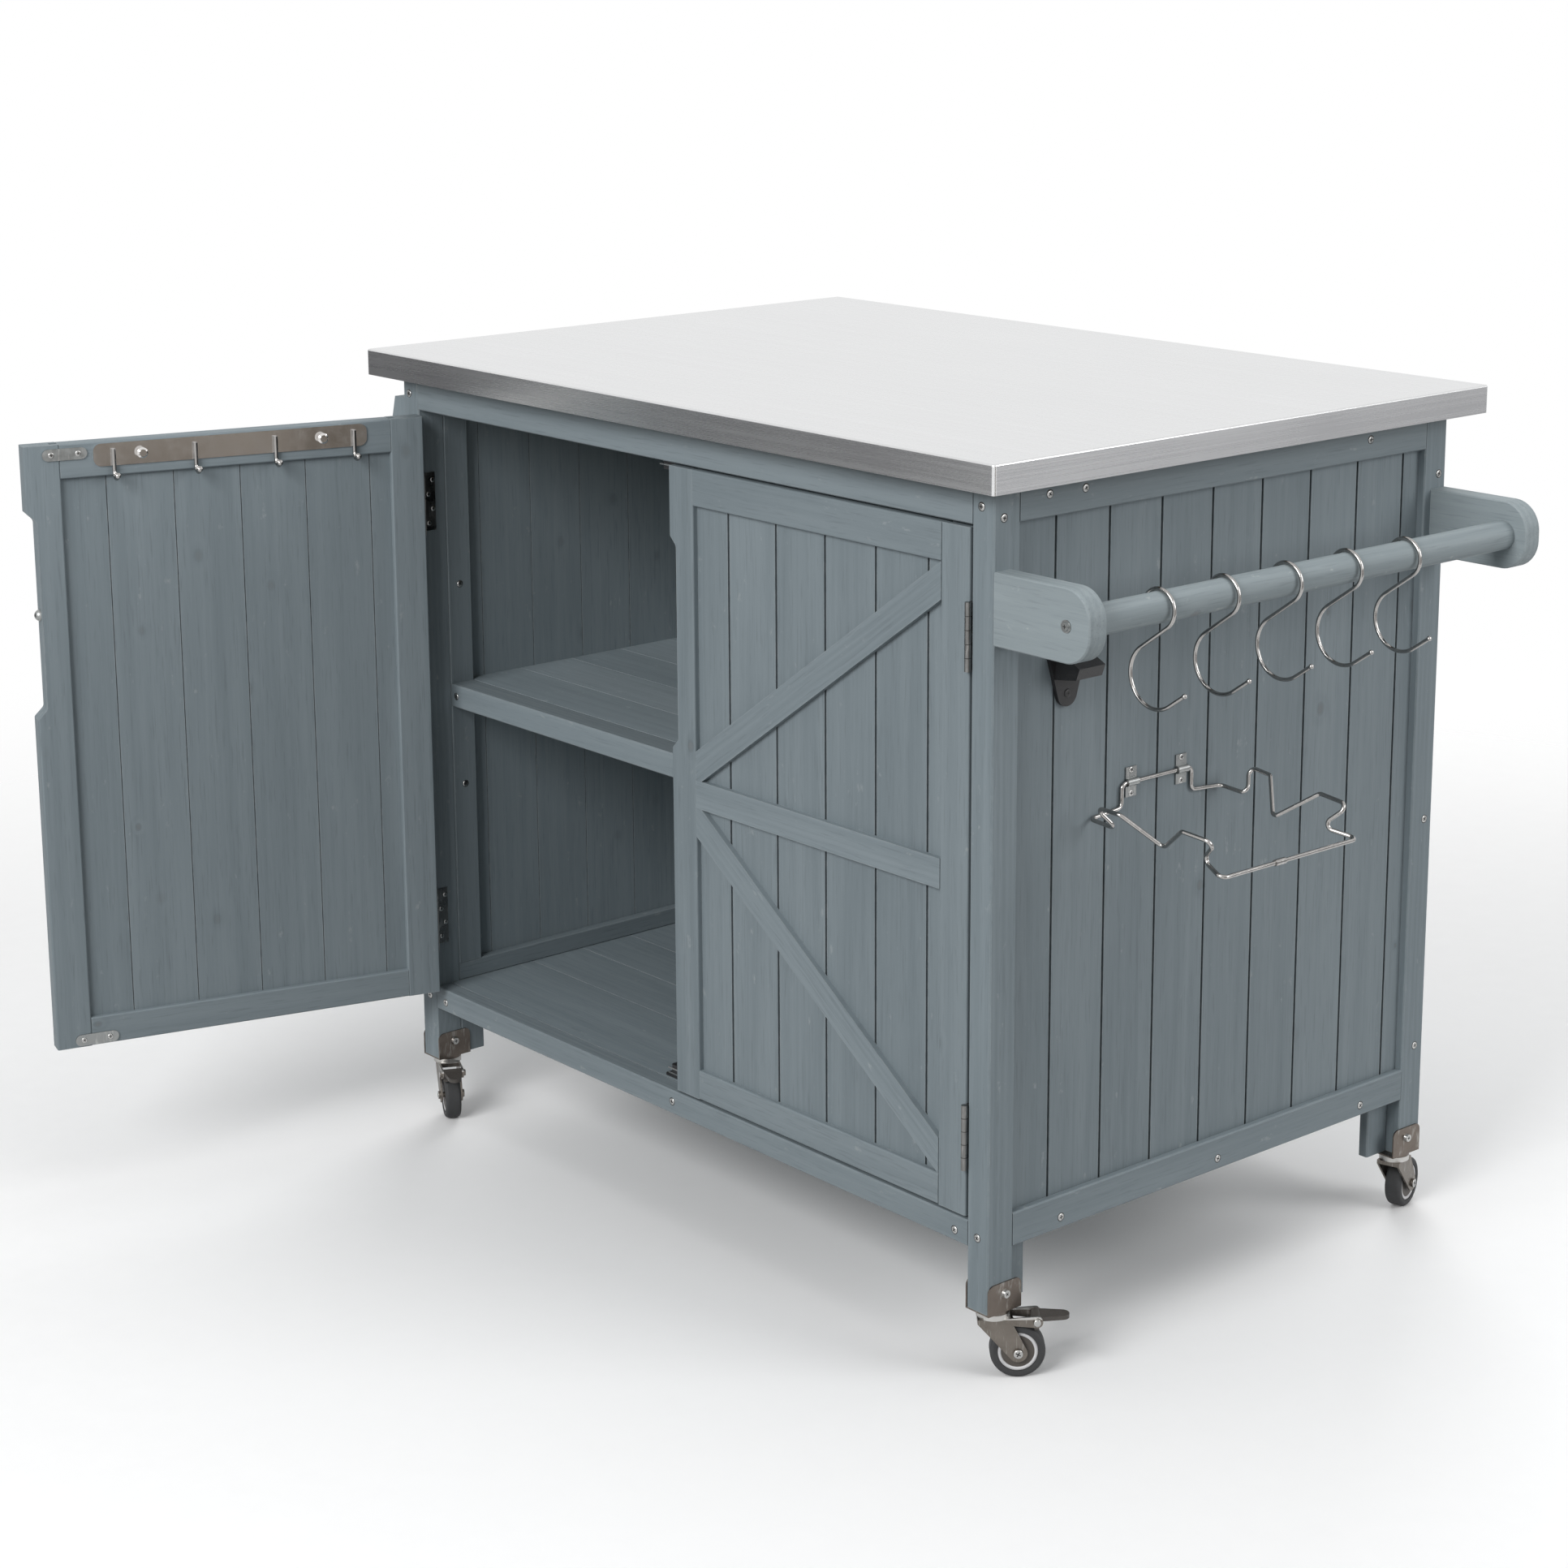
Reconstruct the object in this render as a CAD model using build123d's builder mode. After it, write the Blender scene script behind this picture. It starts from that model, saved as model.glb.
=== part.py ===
from build123d import *
import math
import os

# Wooden outdoor cart: planked cabinet on casters, steel worktop, two doors.
# Millimetres, +X along the front to the right, +Y from front to back, +Z up,
# origin on the floor under the middle of the worktop.

# Whole cart
worktop_width = 950.0
worktop_depth = 660.0
worktop_height = 850.0
worktop_edge = 27.0
worktop_overhang = 27.0
worktop_corner = 3.0
sheet_wall = 1.0
seat_gap = 0.1

# Timber sections
post_width = 27.0
post_depth = 31.0
inner_stile_width = 30.0
rail_thickness = 20.0
front_top_rail_height = 35.0
front_bottom_rail_height = 25.0
wall_rail_thickness = 8.0
wall_top_rail_height = 33.0
wall_bottom_rail_height = 32.0
wall_base = 126.0
edge_break = 1.2

# Tongue and groove boards
board_thickness = 8.0
board_pitch = 67.0
side_first_board = 51.0
face_groove_width = 1.3
face_groove_depth = 2.2
face_line_width = 0.3
face_line_depth = 0.8
board_gap = 0.4
tongue_length = 3.5
tongue_thickness = 2.4
tongue_slack = 0.2

# Floor and shelf
floor_board_thickness = 12.0
shelf_board_thickness = 12.0
shelf_top = 487.0
shelf_edge_height = 25.0
batten_width = 16.0
batten_height = 18.0
skirting_height = 20.0

# Doors
door_open_angle = 105.0
door_thickness = 20.0
door_gap = 3.0
door_stile_width = 36.0
door_top_rail_height = 35.0
door_bottom_rail_height = 30.0
door_edge_round = 1.8
door_first_board = 30.0
door_board_pitch = 69.0
panel_depth = 6.0
panel_groove = 8.0
brace_width = 28.0
brace_end_rise = 28.0
notch_length = 212.0
notch_depth = 10.0
notch_drop = 173.0
notch_round = 6.0
bumper_radius = 6.0

# Butt hinges
hinge_gap = 3.0
hinge_height = 62.0
hinge_leaf = 1.2
hinge_leaf_depth = 20.0
hinge_barrel_radius = 3.0
hinge_pin_radius = 1.5
hinge_running_gap = 0.06
hinge_axis_proud = 3.0
hinge_knuckles = 5
hinge_knuckle_gap = 0.4
hinge_inset_top = 95.5
hinge_inset_bottom = 76.5

# Catches and strike plates
catch_length = 92.0
catch_body_length = 72.0
catch_depth = 13.0
catch_height = 14.0
catch_flange = 2.0
catch_round = 3.0
catch_air = 1.0
strike_length = 45.0
strike_height = 12.0
strike_thickness = 1.5
strike_from_free_edge = 18.5
strike_from_top = 10.0
strike_from_base = 7.5

# Hook rail inside the left door
hook_plate_gap = 6.0
hook_plate_height = 23.0
hook_plate_thickness = 1.5
hook_plate_start = 62.0
hook_plate_drop = 2.0
hook_plate_round = 8.0
hook_count = 4
hook_first_inset = 14.5
hook_last_inset = 20.0
hook_wire_radius = 2.2
hook_bowl_radius = 7.0
hook_bowl_sweep = 150.0
hook_ball_radius = 3.2
hook_shank = 22.0
nut_radius = 5.5
nut_length = 9.0
nut_inset = 48.5

# Towel bar
bracket_height = 65.0
bracket_reach = 114.0
bracket_thickness = 21.0
bracket_round = 28.0
bracket_drop = 105.0
bar_radius = 14.0
bar_out = 87.0
bar_washer_radius = 5.6
bar_washer_height = 0.8
bar_screw_radius = 4.2
bar_screw_height = 1.6
bar_screw_taper = 20.0

# S-hooks
s_hook_count = 5
s_hook_first = 139.0
s_hook_pitch = 82.0
s_hook_wire = 1.85
s_hook_upper = 18.0
s_hook_lower = 29.0
s_hook_drop = 60.0
s_hook_back = 3.0
s_hook_tip = 22.0
s_hook_bead = 2.4
s_hook_over_end = 195.0
s_hook_bowl_end = 305.0
s_hook_seat = 0.3

# Bottle opener
opener_across = 122.0
opener_drop = 102.0
opener_plate = 4.0
opener_lobe = 12.0
opener_width = 44.0
opener_height = 51.0
opener_reach = 34.0
opener_wall = 4.0
opener_hood_lift = 26.4

# Bag ring
ring_wire = 2.0
ring_bend = 5.5
ring_drop = 187.0
ring_middle = 240.7
ring_running_gap = 0.3
ring_clip_spacing = 66.0
ring_clip_width = 14.0
ring_clip_height = 28.0
ring_clip_wall = 1.5
ring_sleeve_length = 13.0
ring_sleeve_wall = 1.0
ring_sleeve_fit = 0.05
ring_sleeve_offset = 15.0

# Rack on the left side
rack_end_thickness = 12.0
rack_top_reach = 35.0
rack_bottom_reach = 82.0
rack_height = 175.0
rack_drop = 28.0
rack_inset = 12.0
rack_shelf_thickness = 12.0
rack_rail_height = 30.0
rack_rail_lift = 50.0

# Casters
wheel_radius = 25.4
wheel_width = 17.0
hub_radius = 18.7
hub_dish = 1.5
tyre_round = 3.5
caster_trail = 22.0
fork_wall = 2.0
fork_side_gap = 1.5
fork_crown_base = 54.0
fork_crown_top = 58.0
fork_race_top = 63.2
fork_race_radius = 15.0
fork_foot_radius = 8.5
swivel_gap = 0.3
foot_plate_base = 66.0
foot_plate_wall = 1.5
foot_plate_depth = 41.0
foot_flange_height = 29.0
foot_flange_round = 7.0
kingpin_radius = 4.0
kingpin_head_radius = 6.5
kingpin_head_height = 2.0
axle_radius = 3.0
shaft_fit = 0.06
axle_head_radius = 4.4
axle_head_height = 2.0
pedal_pivot_out = 17.0
pedal_pivot_height = 55.5
pedal_hub_radius = 5.0
pedal_arm_radius = 5.5
pedal_pin_radius = 2.0
pedal_pin_head = 3.5
pedal_side_gap = 0.4
pedal_reach = 30.0
pedal_pad_radius = 7.0
pedal_thickness = 4.0
pedal_shoe_drop = 8.5
pedal_shoe_width = 4.0
bolt_head_radius = 4.5
bolt_head_height = 3.0
bolt_lift = 18.0
bolt_taper = 15.0
caster_yaws = {"front_right": 50.0, "front_left": -27.0, "back_right": 106.0, "back_left": 150.0}
braked = ("front_right", "front_left")

# Worked out from the sizes above
half_width = worktop_width / 2
half_depth = worktop_depth / 2
cabinet_top = worktop_height - worktop_edge
side_face = half_width - worktop_overhang
front_face = worktop_overhang - half_depth
back_face = -front_face
post_inner = side_face - post_width
post_back = front_face + post_depth
stile_back = post_back + inner_stile_width
post_base = foot_plate_base + foot_plate_wall
wall_outer = side_face - wall_rail_thickness
wall_inner = wall_outer - board_thickness
back_wall_outer = back_face - wall_rail_thickness
back_wall_inner = back_wall_outer - board_thickness
rail_back = front_face + rail_thickness
opening_base = wall_base + front_bottom_rail_height
opening_top = cabinet_top - front_top_rail_height
door_base = opening_base + door_gap
door_top = opening_top - door_gap
door_width = (2 * post_inner - 2 * hinge_gap - door_gap) / 2
hinge_axis_x = post_inner - hinge_gap / 2
hinge_axis_y = front_face - hinge_axis_proud
hinge_middles = (door_base + hinge_inset_bottom, door_top - hinge_inset_top)
panel_back = panel_depth + board_thickness
notch_middle = door_top - notch_drop
strike_middle = door_width - strike_from_free_edge - strike_length / 2
hook_plate_length = strike_middle - strike_length / 2 - hook_plate_gap - hook_plate_start
hook_first = hook_plate_start + hook_first_inset
hook_pitch = (hook_plate_length - hook_first_inset - hook_last_inset) / (hook_count - 1)
nut_spacing = hook_plate_length - 2 * nut_inset
bracket_middle = cabinet_top - bracket_drop
opener_base = bracket_middle - opener_drop
ring_height = bracket_middle - ring_drop
rack_top = cabinet_top - rack_drop
bar_x = side_face + bar_out
face_groove = (face_groove_width, face_groove_depth)
face_line = (face_line_width, face_line_depth)
up = Vector(0, 0, 1)

os.makedirs("parts", exist_ok=True)


def write(builder, name):
    builder.part.label = name
    export_step(builder.part, f"parts/{name}.step")


def block(x_low, x_high, y_low, y_high, z_low, z_high, mode=Mode.ADD):
    with Locations(((x_low + x_high) / 2, (y_low + y_high) / 2, (z_low + z_high) / 2)):
        Box(x_high - x_low, y_high - y_low, z_high - z_low, mode=mode)


def even_seams(low, high, pitch):
    count = max(1, round((high - low) / pitch))
    return [low + (high - low) * i / count for i in range(1, count)]


def stepped_seams(low, high, first, pitch):
    count = int((high - low - first - pitch / 4) // pitch) + 1
    return [low + first + pitch * i for i in range(count)]


def board_outline(low, high, thickness, first, last, low_cut, high_cut):
    # One board's section: cuts beside its seams on both faces, tongue on the high edge, groove on the low
    left = low if first else low + board_gap / 2
    right = high if last else high - board_gap / 2
    low_wide, low_deep = low_cut
    high_wide, high_deep = high_cut
    high_floor = thickness - high_deep
    tongue_low = (thickness - tongue_thickness) / 2
    tongue_high = tongue_low + tongue_thickness
    if first:
        points = [(left, 0)]
    else:
        points = [(left, low_deep), (left + low_wide, low_deep), (left + low_wide, 0)]
    if last:
        points += [(right, 0), (right, thickness)]
    else:
        tip = right + tongue_length
        points += [(right - low_wide, 0), (right - low_wide, low_deep), (right, low_deep)]
        points += [(right, tongue_low), (tip, tongue_low), (tip, tongue_high), (right, tongue_high)]
        points += [(right, high_floor), (right - high_wide, high_floor), (right - high_wide, thickness)]
    if first:
        points += [(left, thickness)]
    else:
        floor = left + tongue_length + board_gap + tongue_slack
        groove_low = tongue_low - tongue_slack
        groove_high = tongue_high + tongue_slack
        points += [(left + high_wide, thickness), (left + high_wide, high_floor), (left, high_floor)]
        points += [(left, groove_high), (floor, groove_high), (floor, groove_low), (left, groove_low)]
    return points


def boards(plane, low, high, seams, length, thickness, low_cut, high_cut):
    # A row of boards across the plane's x direction, from y = 0, drawn out along its normal
    edges = [low, *seams, high]
    last = len(edges) - 2
    with BuildSketch(plane) as rows:
        for i in range(last + 1):
            with BuildLine():
                ends = (edges[i], edges[i + 1])
                Polyline(*board_outline(*ends, thickness, i == 0, i == last, low_cut, high_cut), close=True)
            make_face()
    extrude(rows.sketch, amount=length)


# Worktop: folded steel sheet over a board core
with BuildPart() as worktop_sheet:
    block(-half_width, half_width, -half_depth, half_depth, cabinet_top, worktop_height)
    fillet(worktop_sheet.edges().filter_by(Axis.Z), worktop_corner)
    fillet(worktop_sheet.edges().group_by(Axis.Z)[-1], 2 * sheet_wall)
    core_x = half_width - sheet_wall
    core_y = half_depth - sheet_wall
    block(-core_x, core_x, -core_y, core_y, cabinet_top, worktop_height - 2 * sheet_wall, Mode.SUBTRACT)
write(worktop_sheet, "worktop_sheet")

with BuildPart() as worktop_core:
    half_x = core_x - seat_gap
    half_y = core_y - seat_gap
    block(-half_x, half_x, -half_y, half_y, cabinet_top, worktop_height - 2 * sheet_wall)
write(worktop_core, "worktop_core")

# Cabinet frame
with BuildPart() as corner_posts:
    for x_low in (-side_face, post_inner):
        for y_low in (front_face, back_face - post_depth):
            block(x_low, x_low + post_width, y_low, y_low + post_depth, post_base, cabinet_top)
    chamfer(corner_posts.edges().filter_by(Axis.Z), edge_break)
write(corner_posts, "corner_posts")

# Stiles inside the walls, cut round the skirting that lies on the floor
inner_rails = ((-wall_inner, -post_inner), (post_inner, wall_inner))
skirting_top = opening_base + skirting_height

with BuildPart() as side_stiles:
    for x_low, x_high in inner_rails:
        for y_low, y_high in ((post_back, stile_back), (-stile_back, -post_back)):
            block(x_low, x_high, y_low, y_high, post_base, opening_base)
            block(x_low, x_high, y_low, y_high, skirting_top, cabinet_top)
    chamfer(side_stiles.edges().filter_by(Axis.Z), edge_break)
write(side_stiles, "side_stiles")

with BuildPart() as front_top_rail:
    block(-post_inner, post_inner, front_face, rail_back, opening_top, cabinet_top)
    chamfer(front_top_rail.edges().filter_by(Axis.X), edge_break)
write(front_top_rail, "front_top_rail")

with BuildPart() as front_bottom_rail:
    block(-post_inner, post_inner, front_face, rail_back, wall_base, opening_base)
    chamfer(front_bottom_rail.edges().filter_by(Axis.X), edge_break)
write(front_bottom_rail, "front_bottom_rail")

wall_rail_heights = (
    (wall_base, wall_base + wall_bottom_rail_height),
    (cabinet_top - wall_top_rail_height, cabinet_top),
)

with BuildPart() as back_rails:
    for z_low, z_high in wall_rail_heights:
        block(-post_inner, post_inner, back_wall_outer, back_face, z_low, z_high)
    chamfer(back_rails.edges().filter_by(Axis.X), edge_break)
write(back_rails, "back_rails")

with BuildPart() as side_rails:
    for x_low, x_high in ((-side_face, -wall_outer), (wall_outer, side_face)):
        for z_low, z_high in wall_rail_heights:
            block(x_low, x_high, post_back, -post_back, z_low, z_high)
    for x_low, x_high in inner_rails:
        block(x_low, x_high, post_back, -post_back, opening_base, skirting_top)
    chamfer(side_rails.edges().filter_by(Axis.Y), edge_break)
write(side_rails, "side_rails")

# Planked walls behind the rails
wall_height = cabinet_top - wall_base
side_seams = stepped_seams(post_back, -post_back, side_first_board, board_pitch)

with BuildPart() as right_side_planks:
    right_wall = Plane(origin=(wall_outer, 0, wall_base), x_dir=(0, 1, 0), z_dir=(0, 0, 1))
    row = (post_back, -post_back, side_seams, wall_height, board_thickness)
    boards(right_wall, *row, face_groove, face_line)
write(right_side_planks, "right_side_planks")

with BuildPart() as left_side_planks:
    left_wall = Plane(origin=(-wall_inner, 0, wall_base), x_dir=(0, 1, 0), z_dir=(0, 0, 1))
    row = (post_back, -post_back, side_seams, wall_height, board_thickness)
    boards(left_wall, *row, face_line, face_groove)
write(left_side_planks, "left_side_planks")

with BuildPart() as back_planks:
    back_wall = Plane(origin=(0, back_wall_inner, wall_base), x_dir=(1, 0, 0), z_dir=(0, 0, 1))
    back_seams = even_seams(-post_inner, post_inner, board_pitch)
    row = (-post_inner, post_inner, back_seams, wall_height, board_thickness)
    boards(back_wall, *row, face_line, face_groove)
write(back_planks, "back_planks")


# Floor and shelf: short boards between the posts, full boards between the walls
def board_deck(base, thickness, front_board):
    wide = wall_inner - seat_gap
    narrow = post_inner - seat_gap
    wide_plane = Plane(origin=(-wide, 0, base), x_dir=(0, 1, 0), z_dir=(1, 0, 0))
    narrow_plane = Plane(origin=(-narrow, 0, base), x_dir=(0, 1, 0), z_dir=(1, 0, 0))
    middle_low = stile_back + seat_gap
    middle_high = -stile_back - seat_gap
    if front_board:
        boards(narrow_plane, rail_back, stile_back, [], 2 * narrow, thickness, face_line, face_line)
    seams = even_seams(middle_low, middle_high, board_pitch)
    boards(wide_plane, middle_low, middle_high, seams, 2 * wide, thickness, face_line, face_line)
    boards(narrow_plane, -stile_back, back_wall_inner, [], 2 * narrow, thickness, face_line, face_line)


floor_base = opening_base - floor_board_thickness
with BuildPart() as floor_boards:
    board_deck(floor_base, floor_board_thickness, True)
write(floor_boards, "floor_boards")

shelf_base = shelf_top - shelf_board_thickness
with BuildPart() as shelf_boards:
    board_deck(shelf_base, shelf_board_thickness, False)
write(shelf_boards, "shelf_boards")

with BuildPart() as shelf_edge:
    half_x = post_inner - seat_gap
    block(-half_x, half_x, post_back, stile_back, shelf_top - shelf_edge_height, shelf_top)
    chamfer(shelf_edge.edges().filter_by(Axis.X), edge_break)
write(shelf_edge, "shelf_edge")

with BuildPart() as board_battens:
    batten_inner = wall_inner - batten_width
    for deck_base in (floor_base, shelf_base):
        for x_low, x_high in ((-wall_inner, -batten_inner), (batten_inner, wall_inner)):
            block(x_low, x_high, stile_back, -stile_back, deck_base - batten_height, deck_base)
    half_x = post_inner - seat_gap
    front_batten = (rail_back, rail_back + batten_width)
    back_batten = (back_wall_inner - batten_width, back_wall_inner)
    for y_low, y_high in (front_batten, back_batten):
        block(-half_x, half_x, y_low, y_high, floor_base - batten_height, floor_base)
    half_catch = catch_length / 2 + batten_width
    block(-half_catch, half_catch, rail_back, rail_back + batten_width, opening_top, cabinet_top)
write(board_battens, "board_battens")


# Doors, each drawn in its own directions: along from the hinge edge, inward from the front face
class Door:
    def __init__(self, name, hinge, along, inward):
        self.name = name
        self.hinge = hinge
        self.along = along
        self.inward = inward
        self.corner = hinge + along * (hinge_gap / 2) + inward * hinge_axis_proud
        self.way = 1 if along.cross(up).dot(inward) > 0 else -1

    def at(self, across, height, depth):
        return self.corner + self.along * across + up * height + self.inward * depth

    def face(self, depth=0.0):
        return Plane(origin=self.at(0, 0, depth), x_dir=self.along, z_dir=self.along.cross(up))

    def section(self, height):
        return Plane(origin=self.at(0, height, 0), x_dir=self.along, z_dir=self.along.cross(self.inward))

    def drawn(self, sketch, thickness, mode=Mode.ADD):
        extrude(sketch, amount=self.way * thickness, mode=mode)

    def raised(self, sketch, height):
        extrude(sketch, amount=height if self.along.cross(self.inward).Z > 0 else -height)


open_turn = math.radians(door_open_angle)
left_door = Door(
    "left",
    Vector(-hinge_axis_x, hinge_axis_y, 0),
    Vector(math.cos(open_turn), -math.sin(open_turn), 0),
    Vector(math.sin(open_turn), math.cos(open_turn), 0),
)
right_door = Door("right", Vector(hinge_axis_x, hinge_axis_y, 0), Vector(-1, 0, 0), Vector(0, 1, 0))

panel_low = door_base + door_bottom_rail_height - panel_groove
panel_high = door_top - door_top_rail_height + panel_groove
panel_hinge = door_stile_width - panel_groove
panel_free = door_width - door_stile_width + panel_groove
field_low = door_base + door_bottom_rail_height
field_high = door_top - door_top_rail_height
field_middle = (field_low + field_high) / 2


def grooved(outer, inner):
    # Section of a frame piece with a groove for the planks in its inner edge
    way = 1 if inner > outer else -1
    floor = inner - way * (panel_groove + seat_gap)
    groove_front = panel_depth - seat_gap
    groove_back = panel_back + seat_gap
    return [
        (outer, 0),
        (inner, 0),
        (inner, groove_front),
        (floor, groove_front),
        (floor, groove_back),
        (inner, groove_back),
        (inner, door_thickness),
        (outer, door_thickness),
    ]


def eased(sketch, outer, inner):
    corners = [v for v in sketch.vertices() if abs(v.Y) < 0.01 or abs(v.Y - door_thickness) < 0.01]
    return [v for v in corners if min(abs(v.X - outer), abs(v.X - inner)) < 0.01]


def door_stiles(door):
    with BuildPart() as stiles:
        for outer, inner in ((0, door_stile_width), (door_width, door_width - door_stile_width)):
            with BuildSketch(door.section(door_base)) as outline:
                with BuildLine():
                    Polyline(*grooved(outer, inner), close=True)
                make_face()
                fillet(eased(outline.sketch_local, outer, inner), door_edge_round)
            door.raised(outline.sketch, door_top - door_base)
        with BuildSketch(door.face()) as notch:
            low = notch_middle - notch_length / 2
            high = notch_middle + notch_length / 2
            edge = door_width - notch_depth
            far = door_width + notch_depth
            with BuildLine():
                Polyline(
                    (far, low - notch_depth),
                    (edge, low + notch_depth),
                    (edge, high - notch_depth),
                    (far, high + notch_depth),
                    close=True,
                )
            make_face()
            fillet(notch.sketch_local.vertices().group_by(Axis.X)[0], notch_round)
        door.drawn(notch.sketch, door_thickness, Mode.SUBTRACT)
    write(stiles, f"{door.name}_door_stiles")


def door_rails(door):
    length = door_width - 2 * door_stile_width
    with BuildPart() as rails:
        for outer, inner in ((door_base, field_low), (door_top, field_high)):
            start = door.at(door_stile_width, 0, 0)
            upright = Plane(origin=start, x_dir=up, z_dir=up.cross(door.inward))
            with BuildSketch(upright) as outline:
                with BuildLine():
                    Polyline(*grooved(outer, inner), close=True)
                make_face()
                fillet(eased(outline.sketch_local, outer, inner), door_edge_round)
            extrude(outline.sketch, amount=length * upright.z_dir.dot(door.along))
    write(rails, f"{door.name}_door_rails")


def door_planks(door):
    with BuildPart() as planks:
        lower = door.section(panel_low)
        plane = Plane(origin=door.at(0, panel_low, panel_depth), x_dir=door.along, z_dir=lower.z_dir)
        seams = stepped_seams(panel_hinge, panel_free, door_first_board, door_board_pitch)
        height = (panel_high - panel_low) * lower.z_dir.Z
        boards(plane, panel_hinge, panel_free, seams, height, board_thickness, face_groove, face_line)
    write(planks, f"{door.name}_door_planks")


def door_braces(door):
    # Mid rail and two diagonals laid on the planks, level with the front of the frame
    hinge_side = door_stile_width
    free_side = door_width - door_stile_width
    run = free_side - hinge_side
    with BuildPart() as braces:
        with BuildSketch(door.face()) as strips:
            with Locations(((hinge_side + free_side) / 2, field_middle)):
                Rectangle(run, brace_width)
        door.drawn(strips.sketch, panel_depth)
        for corner, way in ((field_high, 1), (field_low, -1)):
            stop = field_middle + way * (brace_width / 2 + seat_gap)
            rise = abs(corner - stop) - brace_end_rise
            drop = brace_width * math.hypot(run, rise) / run
            foot = free_side - (drop - brace_end_rise) * run / rise
            with BuildSketch(door.face()) as diagonal:
                with BuildLine():
                    Polyline(
                        (hinge_side, corner),
                        (hinge_side, corner - way * drop),
                        (foot, stop),
                        (free_side, stop),
                        (free_side, stop + way * brace_end_rise),
                        close=True,
                    )
                make_face()
            door.drawn(diagonal.sketch, panel_depth)
    write(braces, f"{door.name}_door_braces")


def door_fittings(door):
    # Strike plates inside the free corners, and a dome on the notch edge
    with BuildPart() as fittings:
        with BuildSketch(door.face(door_thickness)) as strikes:
            for height in (door_base + strike_from_base, door_top - strike_from_top):
                with Locations((strike_middle, height)):
                    SlotOverall(strike_length, strike_height)
        door.drawn(strikes.sketch, strike_thickness)
        seat = door.at(door_width - notch_depth, notch_middle, door_thickness / 2)
        with BuildSketch(Plane(origin=seat, x_dir=door.along, z_dir=door.along.cross(up))) as dome:
            with BuildLine():
                Line((0, 0), (bumper_radius, 0))
                CenterArc((0, 0), bumper_radius, 0, 90)
                Line((0, bumper_radius), (0, 0))
            make_face()
        revolve(dome.sketch, axis=Axis(seat, door.along))
    write(fittings, f"{door.name}_door_fittings")


# Butt hinges: the post leaf carries the pin, the door leaf turns on it
def hinge_leaves(hinge, into_wood, along_leaf, first_knuckle):
    pitch = hinge_height / hinge_knuckles
    clear = hinge_barrel_radius + hinge_knuckle_gap
    plate_middle = hinge_gap / 2 - hinge_leaf / 2
    normal = into_wood.cross(along_leaf)
    rise = normal.Z
    for middle in hinge_middles:
        base = hinge + up * (middle - hinge_height / 2)
        with BuildSketch(Plane(origin=base, x_dir=into_wood, z_dir=normal)) as plate:
            with Locations((plate_middle, (clear + hinge_leaf_depth) / 2)):
                Rectangle(hinge_leaf, hinge_leaf_depth - clear)
        extrude(plate.sketch, amount=rise * hinge_height)
        for i in range(first_knuckle, hinge_knuckles, 2):
            seat = base + up * (pitch * i + hinge_knuckle_gap / 2)
            with BuildSketch(Plane(origin=seat, x_dir=into_wood, z_dir=normal)) as knuckle:
                Circle(hinge_barrel_radius)
                with Locations((plate_middle, clear / 2)):
                    Rectangle(hinge_leaf, clear)
                Circle(hinge_pin_radius + hinge_running_gap, mode=Mode.SUBTRACT)
            extrude(knuckle.sketch, amount=rise * (pitch - hinge_knuckle_gap))


with BuildPart() as hinge_post_leaves:
    hinge_leaves(left_door.hinge, Vector(-1, 0, 0), Vector(0, 1, 0), 0)
    hinge_leaves(right_door.hinge, Vector(1, 0, 0), Vector(0, 1, 0), 0)
    for axis_x in (-hinge_axis_x, hinge_axis_x):
        with Locations(*[(axis_x, hinge_axis_y, middle) for middle in hinge_middles]):
            Cylinder(hinge_pin_radius, hinge_height)
write(hinge_post_leaves, "hinge_post_leaves")

for door in (left_door, right_door):
    door_stiles(door)
    door_rails(door)
    door_planks(door)
    door_braces(door)
    door_fittings(door)
    with BuildPart() as door_leaves:
        hinge_leaves(door.hinge, door.along, door.inward, 1)
    write(door_leaves, f"{door.name}_door_hinge_leaves")

# Hook rail across the inside of the left door
hook_plate_middle = door_top - hook_plate_drop - hook_plate_height / 2
hook_plate_back = door_thickness + hook_plate_thickness

with BuildPart() as hook_rail_plate:
    plate_centre = hook_plate_start + hook_plate_length / 2
    with BuildSketch(left_door.face(door_thickness)):
        with Locations((plate_centre, hook_plate_middle)):
            RectangleRounded(hook_plate_length, hook_plate_height, hook_plate_round)
            with Locations((-nut_spacing / 2, 0), (nut_spacing / 2, 0)):
                Circle(nut_radius + shaft_fit, mode=Mode.SUBTRACT)
    extrude(amount=left_door.way * hook_plate_thickness)
    with BuildSketch(left_door.face(door_thickness)):
        with Locations((plate_centre, hook_plate_middle)):
            with Locations((-nut_spacing / 2, 0), (nut_spacing / 2, 0)):
                Circle(nut_radius)
    extrude(amount=left_door.way * nut_length)
    crowns = hook_rail_plate.faces().sort_by(Axis(left_door.corner, left_door.inward))[-2:]
    chamfer(crowns.edges(), nut_radius / 3)
write(hook_rail_plate, "hook_rail_plate")

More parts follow.
